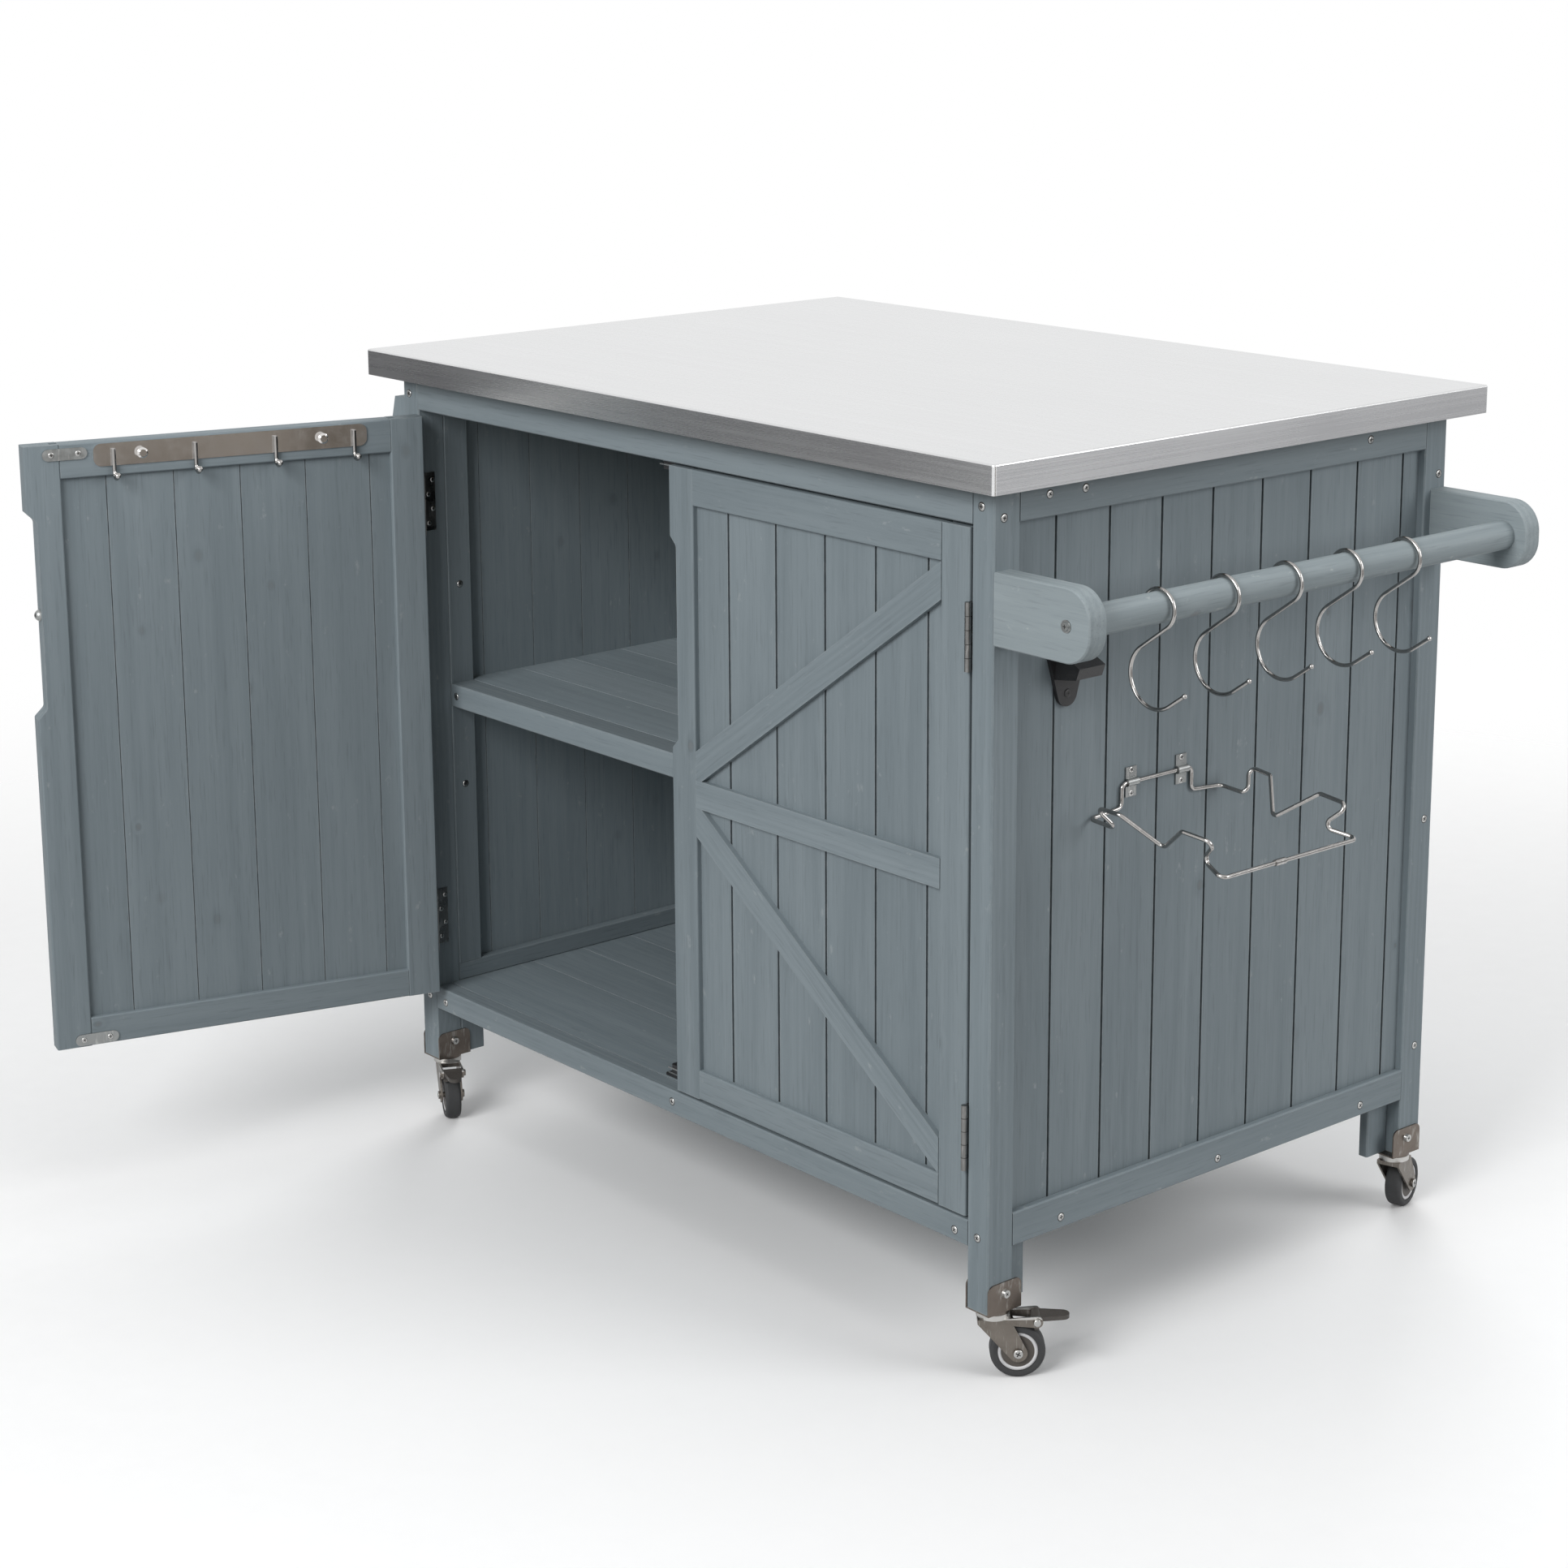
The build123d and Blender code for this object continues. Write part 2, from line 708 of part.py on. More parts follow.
with BuildPart() as hook_rail_hooks:
    wire_depth = hook_plate_back + hook_wire_radius
    shank_low = hook_plate_middle + hook_plate_height / 4 - hook_shank
    for i in range(hook_count):
        foot = left_door.at(hook_first + hook_pitch * i, 0, 0)
        upright = Plane(origin=foot, x_dir=left_door.inward, z_dir=left_door.inward.cross(up))
        with BuildLine(upright) as hook_path:
            Line((wire_depth, shank_low + hook_shank), (wire_depth, shank_low))
            CenterArc((wire_depth + hook_bowl_radius, shank_low), hook_bowl_radius, 180, hook_bowl_sweep)
        with BuildSketch(Plane(origin=hook_path.line @ 0, z_dir=hook_path.line % 0)):
            Circle(hook_wire_radius)
        sweep(path=hook_path.line)
        with Locations(hook_path.line @ 1):
            Sphere(hook_ball_radius)
write(hook_rail_hooks, "hook_rail_hooks")

# Double magnetic catches on the floor and behind the top rail
with BuildPart() as door_catches:
    catch_front = rail_back + strike_thickness + catch_air
    catch_back = catch_front + catch_depth
    half_body = catch_body_length / 2
    half_flange = catch_length / 2
    for seat, way in ((opening_base, 1), (opening_top, -1)):
        body = sorted((seat, seat + way * catch_height))
        flange = sorted((seat, seat + way * catch_flange))
        block(-half_body, half_body, catch_front, catch_back, *body)
        block(-half_flange, half_flange, catch_front, catch_back, *flange)
    fillet(door_catches.edges().filter_by(Axis.Z), catch_round)
write(door_catches, "door_catches")

# Towel bar and its brackets
with BuildPart() as towel_bar_brackets:
    for y_front in (front_face, back_face - bracket_thickness):
        start = (side_face + bracket_reach / 2, y_front, bracket_middle)
        with BuildSketch(Plane(origin=start, x_dir=(1, 0, 0), z_dir=(0, -1, 0))) as shape:
            Rectangle(bracket_reach, bracket_height)
            fillet(shape.vertices().group_by(Axis.X)[-1], bracket_round)
        extrude(amount=-bracket_thickness)
    rims = towel_bar_brackets.faces().filter_by(Axis.Y).edges().filter_by(Axis.Z, reverse=True)
    chamfer(rims, edge_break)
write(towel_bar_brackets, "towel_bar_brackets")

bar_front = front_face + bracket_thickness
with BuildPart() as towel_bar:
    with BuildSketch(Plane(origin=(bar_x, bar_front, bracket_middle), z_dir=(0, 1, 0))):
        Circle(bar_radius)
    extrude(amount=-2 * bar_front)
write(towel_bar, "towel_bar")

with BuildPart() as bar_screws:
    for way in (-1, 1):
        face = Plane(origin=(bar_x, way * back_face, bracket_middle), z_dir=(0, way, 0))
        with BuildSketch(face):
            Circle(bar_washer_radius)
        extrude(amount=bar_washer_height)
        with BuildSketch(face.offset(bar_washer_height)):
            Circle(bar_screw_radius)
        extrude(amount=bar_screw_height, taper=bar_screw_taper)
write(bar_screws, "bar_screws")

# S-hooks: over the bar, slanting back, and round into an open bowl
hook_rise = bracket_middle + bar_radius + s_hook_seat + s_hook_wire - s_hook_upper
centre_run = math.hypot(s_hook_back, s_hook_drop)
centre_turn = math.atan2(-s_hook_drop, -s_hook_back)
cross_turn = centre_turn + math.acos((s_hook_upper + s_hook_lower) / centre_run)
leave = (s_hook_upper * math.cos(cross_turn), s_hook_upper * math.sin(cross_turn))
join = (
    -s_hook_back - s_hook_lower * math.cos(cross_turn),
    -s_hook_drop - s_hook_lower * math.sin(cross_turn),
)
upper_sweep = s_hook_over_end - math.degrees(cross_turn)
bowl_start = 180.0 + math.degrees(cross_turn)
bowl_sweep = s_hook_bowl_end - bowl_start
bowl_turn = math.radians(s_hook_bowl_end)
bowl_end = (
    s_hook_lower * math.cos(bowl_turn) - s_hook_back,
    s_hook_lower * math.sin(bowl_turn) - s_hook_drop,
)
tip_end = (
    bowl_end[0] - s_hook_tip * math.sin(bowl_turn),
    bowl_end[1] + s_hook_tip * math.cos(bowl_turn),
)

for i in range(s_hook_count):
    hook_y = s_hook_first + s_hook_pitch * i - half_depth
    hook_plane = Plane(origin=(bar_x, hook_y, hook_rise), x_dir=(1, 0, 0), z_dir=(0, -1, 0))
    with BuildPart() as s_hook:
        with BuildLine(hook_plane) as s_path:
            CenterArc((0, 0), s_hook_upper, s_hook_over_end, -upper_sweep)
            Line(leave, join)
            CenterArc((-s_hook_back, -s_hook_drop), s_hook_lower, bowl_start, bowl_sweep)
            Line(bowl_end, tip_end)
        with BuildSketch(Plane(origin=s_path.line @ 0, z_dir=s_path.line % 0)):
            Circle(s_hook_wire)
        sweep(path=s_path.line)
        with Locations(s_path.line @ 0, s_path.line @ 1):
            Sphere(s_hook_bead)
    write(s_hook, f"s_hook_{i + 1}")

# Bottle opener: a shield plate with a hollow hood over the mouth
with BuildPart() as bottle_opener:
    opener_y = opener_across - half_depth
    foot = (wall_outer, opener_y, opener_base)
    shield = Plane(origin=foot, x_dir=(0, 1, 0), z_dir=(1, 0, 0))
    shoulder = opener_width / 2 - opener_lobe / 2
    with BuildSketch(shield):
        with Locations((0, opener_lobe)):
            Circle(opener_lobe)
        shoulder_height = opener_height - opener_lobe / 2
        with Locations((-shoulder, shoulder_height), (shoulder, shoulder_height)):
            Circle(opener_lobe / 2)
        make_hull()
    extrude(amount=opener_plate)
    side_view = Plane(origin=foot, x_dir=(1, 0, 0), z_dir=(0, -1, 0))
    hood_low = opener_hood_lift
    hood_high = opener_height - opener_wall / 2
    with BuildSketch(side_view):
        with BuildLine():
            Polyline(
                (opener_plate, hood_low),
                (opener_reach - opener_wall, hood_low + opener_wall),
                (opener_reach, hood_high - 2 * opener_wall),
                (opener_reach / 2, hood_high),
                (opener_plate, hood_high),
                close=True,
            )
        make_face()
    extrude(amount=shoulder, both=True)
    with BuildSketch(side_view):
        with BuildLine():
            Polyline(
                (opener_plate, hood_low),
                (opener_reach - 2 * opener_wall, hood_low),
                (opener_reach - 2 * opener_wall, hood_high - 3 * opener_wall),
                (opener_reach / 2, hood_high - 2 * opener_wall),
                (opener_plate, hood_high - 2 * opener_wall),
                close=True,
            )
        make_face()
    extrude(amount=shoulder - opener_wall, both=True, mode=Mode.SUBTRACT)
write(bottle_opener, "bottle_opener")

# Bag ring: one bent wire, its ends met in a crimped sleeve, turning in two saddle clips
ring_x = wall_outer + ring_wire + ring_running_gap
ring_y = ring_middle - half_depth
ring_half = (
    (161.0, 90.0, -42.0),
    (128.0, 77.0, -35.0),
    (152.0, 89.0, -13.0),
    (115.0, 91.0, -10.0),
    (77.0, 72.0, -37.0),
    (49.0, 99.0, -8.0),
    (20.0, 102.0, -6.0),
    (34.0, 86.0, -27.0),
    (0.0, 86.0, -25.0),
    (0.0, 46.0, -22.0),
    (0.0, 46.0, 0.0),
)


def ring_point(out, across, height):
    return (ring_x + out, ring_y + across, ring_height + height)


front_out, _, front_height = ring_half[0]
ring_route = [ring_point(front_out, ring_running_gap - ring_sleeve_offset, front_height)]
ring_route += [ring_point(*point) for point in ring_half]
ring_route += [ring_point(out, -across, height) for out, across, height in reversed(ring_half)]
ring_route += [ring_point(front_out, -ring_running_gap - ring_sleeve_offset, front_height)]

with BuildPart() as bag_ring:
    with BuildLine() as ring_path:
        FilletPolyline(*ring_route, radius=ring_bend)
    with BuildSketch(Plane(origin=ring_path.line @ 0, z_dir=ring_path.line % 0)):
        Circle(ring_wire)
    sweep(path=ring_path.line)
    sleeve_start = ring_point(front_out, -ring_sleeve_offset - ring_sleeve_length / 2, front_height)
    with BuildSketch(Plane(origin=sleeve_start, z_dir=(0, 1, 0))):
        Circle(ring_wire + ring_sleeve_fit + ring_sleeve_wall)
        Circle(ring_wire + ring_sleeve_fit, mode=Mode.SUBTRACT)
    extrude(amount=ring_sleeve_length)
write(bag_ring, "bag_ring")

with BuildPart() as ring_clips:
    hump_inner = ring_wire + ring_running_gap
    hump_outer = hump_inner + ring_clip_wall
    for way in (-1, 1):
        clip_y = ring_y + way * ring_clip_spacing / 2 + ring_clip_width / 2
        with BuildSketch(Plane(origin=(wall_outer, clip_y, ring_height), x_dir=(1, 0, 0), z_dir=(0, -1, 0))):
            with Locations((ring_clip_wall / 2, 0)):
                Rectangle(ring_clip_wall, ring_clip_height)
            with Locations((hump_inner / 2, 0)):
                Rectangle(hump_inner, 2 * hump_outer)
            with Locations((hump_inner, 0)):
                Circle(hump_outer)
                Circle(hump_inner, mode=Mode.SUBTRACT)
            with Locations((hump_inner / 2, 0)):
                Rectangle(hump_inner, 2 * hump_inner, mode=Mode.SUBTRACT)
            with Locations((-hump_outer, 0)):
                Rectangle(2 * hump_outer, 2 * hump_outer, mode=Mode.SUBTRACT)
        extrude(amount=ring_clip_width)
write(ring_clips, "ring_clips")

# Rack on the left side
rack_base = rack_top - rack_height
rack_front = front_face + rack_inset


def rack_reach(height):
    return rack_top_reach + (rack_bottom_reach - rack_top_reach) * (rack_top - height) / rack_height


with BuildPart() as rack_ends:
    for y_low in (rack_front, -rack_front - rack_end_thickness):
        with BuildSketch(Plane(origin=(-side_face, y_low, 0), x_dir=(-1, 0, 0), z_dir=(0, 1, 0))):
            with BuildLine():
                Polyline(
                    (0, rack_base),
                    (rack_bottom_reach, rack_base),
                    (rack_top_reach, rack_top),
                    (0, rack_top),
                    close=True,
                )
            make_face()
        extrude(amount=rack_end_thickness)
write(rack_ends, "rack_ends")

with BuildPart() as rack_boards:
    inside = rack_front + rack_end_thickness
    shelf_high = rack_base + rack_shelf_thickness
    shelf_reach = rack_reach(shelf_high)
    block(-side_face - shelf_reach, -side_face, inside, -inside, rack_base, shelf_high)
    rail_low = rack_base + rack_rail_lift
    rail_high = rail_low + rack_rail_height
    rail_reach = rack_reach(rail_high)
    rail_out = -side_face - rail_reach
    block(rail_out, rail_out + rack_shelf_thickness, inside, -inside, rail_low, rail_high)
write(rack_boards, "rack_boards")

# Caster foot plates, kingpins and bolts
caster_x = side_face - post_width / 2
caster_y = back_face - foot_plate_depth / 2
caster_spots = {
    "front_right": (caster_x, -caster_y),
    "front_left": (-caster_x, -caster_y),
    "back_right": (caster_x, caster_y),
    "back_left": (-caster_x, caster_y),
}
race_base = fork_race_top + swivel_gap
flange_top = foot_plate_base + foot_flange_height
from_base = (Align.CENTER, Align.CENTER, Align.MIN)

with BuildPart() as caster_foot_plates:
    half_x = post_width / 2 + foot_plate_wall
    half_y = foot_plate_depth / 2
    for x, y in caster_spots.values():
        block(x - half_x, x + half_x, y - half_y, y + half_y, foot_plate_base, post_base)
        for x_low in (x - half_x, x + half_x - foot_plate_wall):
            block(x_low, x_low + foot_plate_wall, y - half_y, y + half_y, foot_plate_base, flange_top)
        with Locations((x, y, race_base)):
            Cylinder(fork_race_radius, foot_plate_base - race_base, align=from_base)
        head_base = fork_crown_base - swivel_gap - kingpin_head_height
        with Locations((x, y, head_base)):
            Cylinder(kingpin_radius, race_base - head_base, align=from_base)
            Cylinder(kingpin_head_radius, kingpin_head_height, align=from_base)
    ears = caster_foot_plates.edges().filter_by(Axis.X).group_by(Axis.Z)[-1]
    fillet(ears, foot_flange_round)
write(caster_foot_plates, "caster_foot_plates")

with BuildPart() as caster_bolts:
    for x, y in caster_spots.values():
        for way in (-1, 1):
            head = (x + way * half_x, y, foot_plate_base + bolt_lift)
            with BuildSketch(Plane(origin=head, z_dir=(way, 0, 0))):
                Circle(bolt_head_radius)
            extrude(amount=bolt_head_height, taper=bolt_taper)
write(caster_bolts, "caster_bolts")

# Casters: pressed fork, tyre, hub, and a brake pedal on the front pair
fork_inner = wheel_width / 2 + fork_side_gap
fork_outer = fork_inner + fork_wall
pivot_out = caster_trail + pedal_pivot_out
crown_middle = (fork_crown_base + fork_crown_top) / 2
crown_height = fork_crown_top - fork_crown_base
axle_spot = (caster_trail, wheel_radius)
pivot_spot = (pivot_out, pedal_pivot_height)

for name, (x, y) in caster_spots.items():
    yaw = math.radians(caster_yaws[name])
    trailing = Vector(math.cos(yaw), math.sin(yaw), 0)
    side = Plane(origin=(x, y, 0), x_dir=trailing, z_dir=trailing.cross(up))
    with BuildPart() as fork:
        with BuildSketch(side):
            with Locations(axle_spot):
                Circle(fork_foot_radius)
            with Locations((0, crown_middle)):
                Rectangle(2 * fork_race_radius, crown_height)
            make_hull()
        extrude(amount=fork_outer, both=True)
        if name in braked:
            with BuildSketch(side):
                with Locations(pivot_spot):
                    Circle(pedal_arm_radius)
                with Locations((fork_race_radius / 2, crown_middle)):
                    Rectangle(fork_race_radius, crown_height)
                make_hull()
            extrude(amount=fork_outer, both=True)
        with BuildSketch(side):
            slot_end = pivot_out + 2 * pedal_arm_radius
            slot_start = -2 * fork_race_radius
            with Locations(((slot_start + slot_end) / 2, fork_crown_base / 2)):
                Rectangle(slot_end - slot_start, fork_crown_base)
            with Locations((fork_race_radius + slot_end / 2, pedal_pivot_height)):
                Rectangle(slot_end, 4 * pedal_arm_radius)
        extrude(amount=fork_inner, both=True, mode=Mode.SUBTRACT)
        with Locations((x, y, fork_crown_top)):
            Cylinder(fork_race_radius, fork_race_top - fork_crown_top, align=from_base)
        with Locations((x, y, fork_crown_base)):
            bore = kingpin_radius + shaft_fit
            Cylinder(bore, fork_race_top - fork_crown_base, align=from_base, mode=Mode.SUBTRACT)
        with BuildSketch(side):
            with Locations(axle_spot):
                Circle(axle_radius + shaft_fit)
            if name in braked:
                with Locations(pivot_spot):
                    Circle(pedal_pin_radius + shaft_fit)
        extrude(amount=fork_outer, both=True, mode=Mode.SUBTRACT)
        shaft_half = fork_outer + seat_gap
        with BuildSketch(side):
            with Locations(axle_spot):
                Circle(axle_radius)
            if name in braked:
                with Locations(pivot_spot):
                    Circle(pedal_pin_radius)
        extrude(amount=shaft_half, both=True)
        for way in (-1, 1):
            with BuildSketch(side.offset(way * shaft_half)):
                with Locations(axle_spot):
                    Circle(axle_head_radius)
                if name in braked:
                    with Locations(pivot_spot):
                        Circle(pedal_pin_head)
            extrude(amount=way * axle_head_height)
    write(fork, f"{name}_fork")

    with BuildPart() as tyre:
        with BuildSketch(side):
            with Locations(axle_spot):
                Circle(wheel_radius)
                Circle(hub_radius, mode=Mode.SUBTRACT)
        extrude(amount=wheel_width / 2, both=True)
        rims = tyre.edges().filter_by(GeomType.CIRCLE).group_by(SortBy.RADIUS)[-1]
        fillet(rims, tyre_round)
    write(tyre, f"{name}_tyre")

    with BuildPart() as hub:
        with BuildSketch(side):
            with Locations(axle_spot):
                Circle(hub_radius)
                Circle(axle_radius + shaft_fit, mode=Mode.SUBTRACT)
        extrude(amount=wheel_width / 2 - hub_dish, both=True)
    write(hub, f"{name}_hub")

    if name in braked:
        with BuildPart() as pedal:
            half_pedal = fork_inner - pedal_side_gap
            with BuildSketch(side):
                with Locations(pivot_spot):
                    Circle(pedal_hub_radius)
                with Locations((pivot_out, pedal_pivot_height - pedal_shoe_drop / 2)):
                    Rectangle(pedal_shoe_width, pedal_shoe_drop)
            extrude(amount=half_pedal, both=True)
            with BuildSketch(Plane(origin=(x, y, pedal_pivot_height), x_dir=trailing, z_dir=(0, 0, 1))):
                with Locations((pivot_out + pedal_reach - pedal_pad_radius, 0)):
                    Circle(pedal_pad_radius)
                with Locations((pivot_out + pedal_hub_radius / 2, 0)):
                    Rectangle(pedal_hub_radius, 2 * half_pedal)
                make_hull()
            extrude(amount=pedal_thickness)
            with BuildSketch(side):
                with Locations(pivot_spot):
                    Circle(pedal_pin_radius + shaft_fit)
            extrude(amount=fork_outer, both=True, mode=Mode.SUBTRACT)
        write(pedal, f"{name}_brake_pedal")
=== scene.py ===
import math

import bmesh
import bpy
from mathutils import Matrix, Vector


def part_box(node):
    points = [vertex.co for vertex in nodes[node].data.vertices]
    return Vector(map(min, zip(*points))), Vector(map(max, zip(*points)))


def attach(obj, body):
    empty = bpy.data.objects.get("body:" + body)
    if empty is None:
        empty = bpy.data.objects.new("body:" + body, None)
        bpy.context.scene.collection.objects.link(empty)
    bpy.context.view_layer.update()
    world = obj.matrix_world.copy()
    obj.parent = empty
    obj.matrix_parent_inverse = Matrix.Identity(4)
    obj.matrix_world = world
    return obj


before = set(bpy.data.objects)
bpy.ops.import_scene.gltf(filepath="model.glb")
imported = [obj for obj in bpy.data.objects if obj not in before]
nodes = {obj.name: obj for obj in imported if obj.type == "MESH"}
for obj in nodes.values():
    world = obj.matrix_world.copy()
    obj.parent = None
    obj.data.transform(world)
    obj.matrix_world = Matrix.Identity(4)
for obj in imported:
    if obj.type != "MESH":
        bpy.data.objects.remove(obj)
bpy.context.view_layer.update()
scene = bpy.context.scene
scene.view_settings.view_transform = "Standard"

mm = 0.001
x_way = Vector((1, 0, 0))
y_way = Vector((0, 1, 0))
up = Vector((0, 0, 1))
ahead = Vector((0, -1, 0))

# Camera, in millimetres and degrees
camera_place = (2370.0, -2164.0, 1314.0)
camera_yaw = 49.76
camera_pitch = 12.88
camera_roll = -0.34
camera_lens = 73.6
camera_shift = -0.1

# Cabinet, in millimetres like all that follows unless a heading says otherwise
side_face = 448.0
front_face = -303.0
back_face = 303.0
wall_face = 440.0
stile_face = 421.0
stile_middle = 257.0
shelf_front = -272.0
deck_start = -241.9
deck_pitch = 69.11
side_board_start = -221.0
side_board_pitch = 67.0
back_board_start = -421.0
back_board_pitch = 842.0 / 13
stile_screw_heights = (373.0, 595.0)
shelf_screw = (412.0, 474.5)
back_screw_x = 434.0
back_screw_heights = (140.0, 470.0, 806.0)

# Doors
hinge_axis = (419.5, -306.0)
hinge_half_gap = 1.5
hinge_axis_proud = 3.0
hinge_leaf_face = 419.8
hinge_middles = (230.5, 689.5)
hinge_height = 62.0
hinge_knuckles = 5
hinge_barrel_radius = 3.0
knuckle_line_proud = 0.05
knuckle_line_depth = 0.5
knuckle_line_half = 0.35
barrel_steps = 24
door_width = 416.5
door_thickness = 20.0
door_board_start = 58.0
door_board_pitch = 69.0
door_open = math.radians(105.0)
strike_along = 375.5
strike_heights = (161.5, 775.0)
strike_thickness = 1.5
strike_screw_step = 13.5
catch_front = -280.5
catch_middles = (158.0, 781.0)
catch_pole_x = 27.0
catch_pole_lift = 2.6
catch_pole_size = (26.0, 0.8, 1.6)
catch_pole_round = 0.2
ear_screw = (41.0, -274.0)
ear_faces = ((153.0, 1), (786.0, -1))
field_middle = 467.0
mid_rail_half = 14.05
brace_slope = math.atan2(240.9, 344.5)

# Side fittings
bar_x = 535.0
bar_height = 718.0
bar_screw_face = 305.4
ring_axle = (442.3, -89.3, 531.0)
clip_spacing = 66.0
clip_wall = 1.5
clip_screw_lift = 11.0
opener_place = (444.0, -208.0, 628.0)

# Screw heads: radius and rise
wood_head = (3.6, 0.6)
inner_head = (3.4, 0.5)
hinge_head = (2.7, 0.45)
strike_head = (2.9, 0.25)
clip_head = (3.0, 0.7)
opener_head = (4.0, 1.0)
catch_head = (2.4, 0.6)
bar_slot_radius = 3.4
bolt_slot_radius = 3.2
head_steps = 20
merge_distance = 0.002

# Cross slots: length and width as shares of the radius, thickness, and the turn from one to the next
slot_length = 1.15
slot_width = 0.26
slot_thickness = 0.10
slot_turn = 1.1

# Painted shadow round a head that is drilled in
drill_inside = 0.2
drill_outside = 0.6
drill_thickness = 0.08

# Wood finish
arris_radius = 1.8
groove_skin = 0.25
brace_inset = 10.0
brace_shade = 1.05

# Two runs that part the cart at its middle, in metres
half_start = -0.6
half_pitch = 0.6

# Stain colours
stain_dark = (0.154, 0.188, 0.206, 1)
stain_light = (0.219, 0.259, 0.280, 1)
pore_dark = (0.115, 0.138, 0.153, 1)
scuff_pale = (0.33, 0.36, 0.37, 1)
knot_halo = (0.105, 0.122, 0.132, 1)
knot_rim = (0.078, 0.088, 0.094, 1)
knot_core = (0.165, 0.180, 0.188, 1)
# Painted shade for the bottoms of the grooves between boards
groove_shade_colour = (0.038, 0.047, 0.052, 1)
# Painted highlight for the rounded arrises
arris_highlight = (0.36, 0.39, 0.40, 1)

# How often a pattern repeats in a metre across a board, into it and along it; a knot across and along
streak_stretch = (150.0, 150.0, 4.0)
pore_stretch = (520.0, 520.0, 24.0)
cloud_stretch = (11.0, 11.0, 3.0)
rub_stretch = (85.0, 85.0, 40.0)
knot_stretch = (7.5, 5.6, 1.0)

# Casters
bolt_places = ((416.5, -1), (452.5, 1))
bolt_middle = (282.5, 84.0)
axle_bolt_half = 14.1
wheel_face = 7.0
axle_head_radius = 4.4
pedal_pin_head = 3.5
cap_rise = 0.5
cap_inset = 0.1
ring_lift = 0.02
ring_steps = 48
ring_profile = ((15.2, 0), (15.5, 0.55), (18.3, 0.55), (18.6, 0), (15.2, 0))
pedal_pivot_out = 17.0
pedal_pivot_height = 55.5
fork_crown_top = 58.0
fork_race_top = 63.2
band_lift = 0.1
braked = ("front_right", "front_left")
caster_yaws = {"front_right": 50.0, "front_left": -27.0, "back_right": 106.0, "back_left": 150.0}

# Surroundings, in metres
floor_radius = 2.7
floor_fade = (2.6, 0.8)
floor_sides = 128
room_light = 0.25


# Node laying

class Bench:
    """Lays nodes in one tree and joins them."""

    def __init__(self, tree):
        self.tree = tree

    def add(self, kind, **settings):
        node = self.tree.nodes.new(kind)
        for name, value in settings.items():
            setattr(node, name, value)
        return node

    def put(self, socket, value):
        if isinstance(value, bpy.types.NodeSocket):
            self.tree.links.new(value, socket)
        else:
            socket.default_value = value

    def math(self, operation, first, second=None):
        node = self.add("ShaderNodeMath", operation=operation)
        self.put(node.inputs[0], first)
        if second is not None:
            self.put(node.inputs[1], second)
        return node.outputs[0]

    def vector(self, operation, first, second):
        node = self.add("ShaderNodeVectorMath", operation=operation)
        self.put(node.inputs[0], first)
        self.put(node.inputs[1], second)
        return node.outputs["Value"] if operation == "DOT_PRODUCT" else node.outputs["Vector"]

    def combine(self, x, y, z):
        node = self.add("ShaderNodeCombineXYZ")
        for socket, value in zip(node.inputs, (x, y, z)):
            self.put(socket, value)
        return node.outputs[0]

    def separate(self, value):
        node = self.add("ShaderNodeSeparateXYZ")
        self.put(node.inputs[0], value)
        return node.outputs

    def span(self, value, low, high, out_low=0.0, out_high=1.0):
        node = self.add("ShaderNodeMapRange", interpolation_type="SMOOTHSTEP")
        for socket, entry in zip(node.inputs, (value, low, high, out_low, out_high)):
            self.put(socket, entry)
        return node.outputs[0]

    def noise(self, vector, scale, detail, roughness):
        node = self.add("ShaderNodeTexNoise")
        self.put(node.inputs["Vector"], vector)
        self.put(node.inputs["Scale"], scale)
        self.put(node.inputs["Detail"], detail)
        self.put(node.inputs["Roughness"], roughness)
        return node.outputs[0]

    def blend(self, factor, first, second, mode="MIX"):
        node = self.add("ShaderNodeMix", data_type="RGBA", blend_type=mode)
        self.put(node.inputs[0], factor)
        self.put(node.inputs[6], first)
        self.put(node.inputs[7], second)
        return node.outputs[2]

    def group(self, tree, **entries):
        node = self.add("ShaderNodeGroup", node_tree=tree)
        for name, value in entries.items():
            self.put(node.inputs[name], value)
        return node.outputs


def new_group(name, entries, results):
    tree = bpy.data.node_groups.new(name, "ShaderNodeTree")
    for title, kind in entries:
        tree.interface.new_socket(title, in_out="INPUT", socket_type=kind)
    for title, kind in results:
        tree.interface.new_socket(title, in_out="OUTPUT", socket_type=kind)
    bench = Bench(tree)
    return tree, bench, bench.add("NodeGroupInput").outputs, bench.add("NodeGroupOutput").inputs


def new_material(name, metallic=0.0, roughness=0.5, **constants):
    material = bpy.data.materials.new(name)
    material.use_nodes = True
    bench = Bench(material.node_tree)
    shader = material.node_tree.nodes["Principled BSDF"]
    shader.inputs["Metallic"].default_value = metallic
    shader.inputs["Roughness"].default_value = roughness
    for title, value in constants.items():
        shader.inputs[title.replace("_", " ")].default_value = value
    place = bench.add("ShaderNodeTexCoord").outputs["Object"]
    return material, bench, shader, place


def raise_surface(bench, shader, height, strength, distance):
    bump = bench.add("ShaderNodeBump")
    bump.inputs["Strength"].default_value = strength
    bump.inputs["Distance"].default_value = distance
    bench.put(bump.inputs["Height"], height)
    bench.put(shader.inputs["Normal"], bump.outputs[0])


# Shared effects

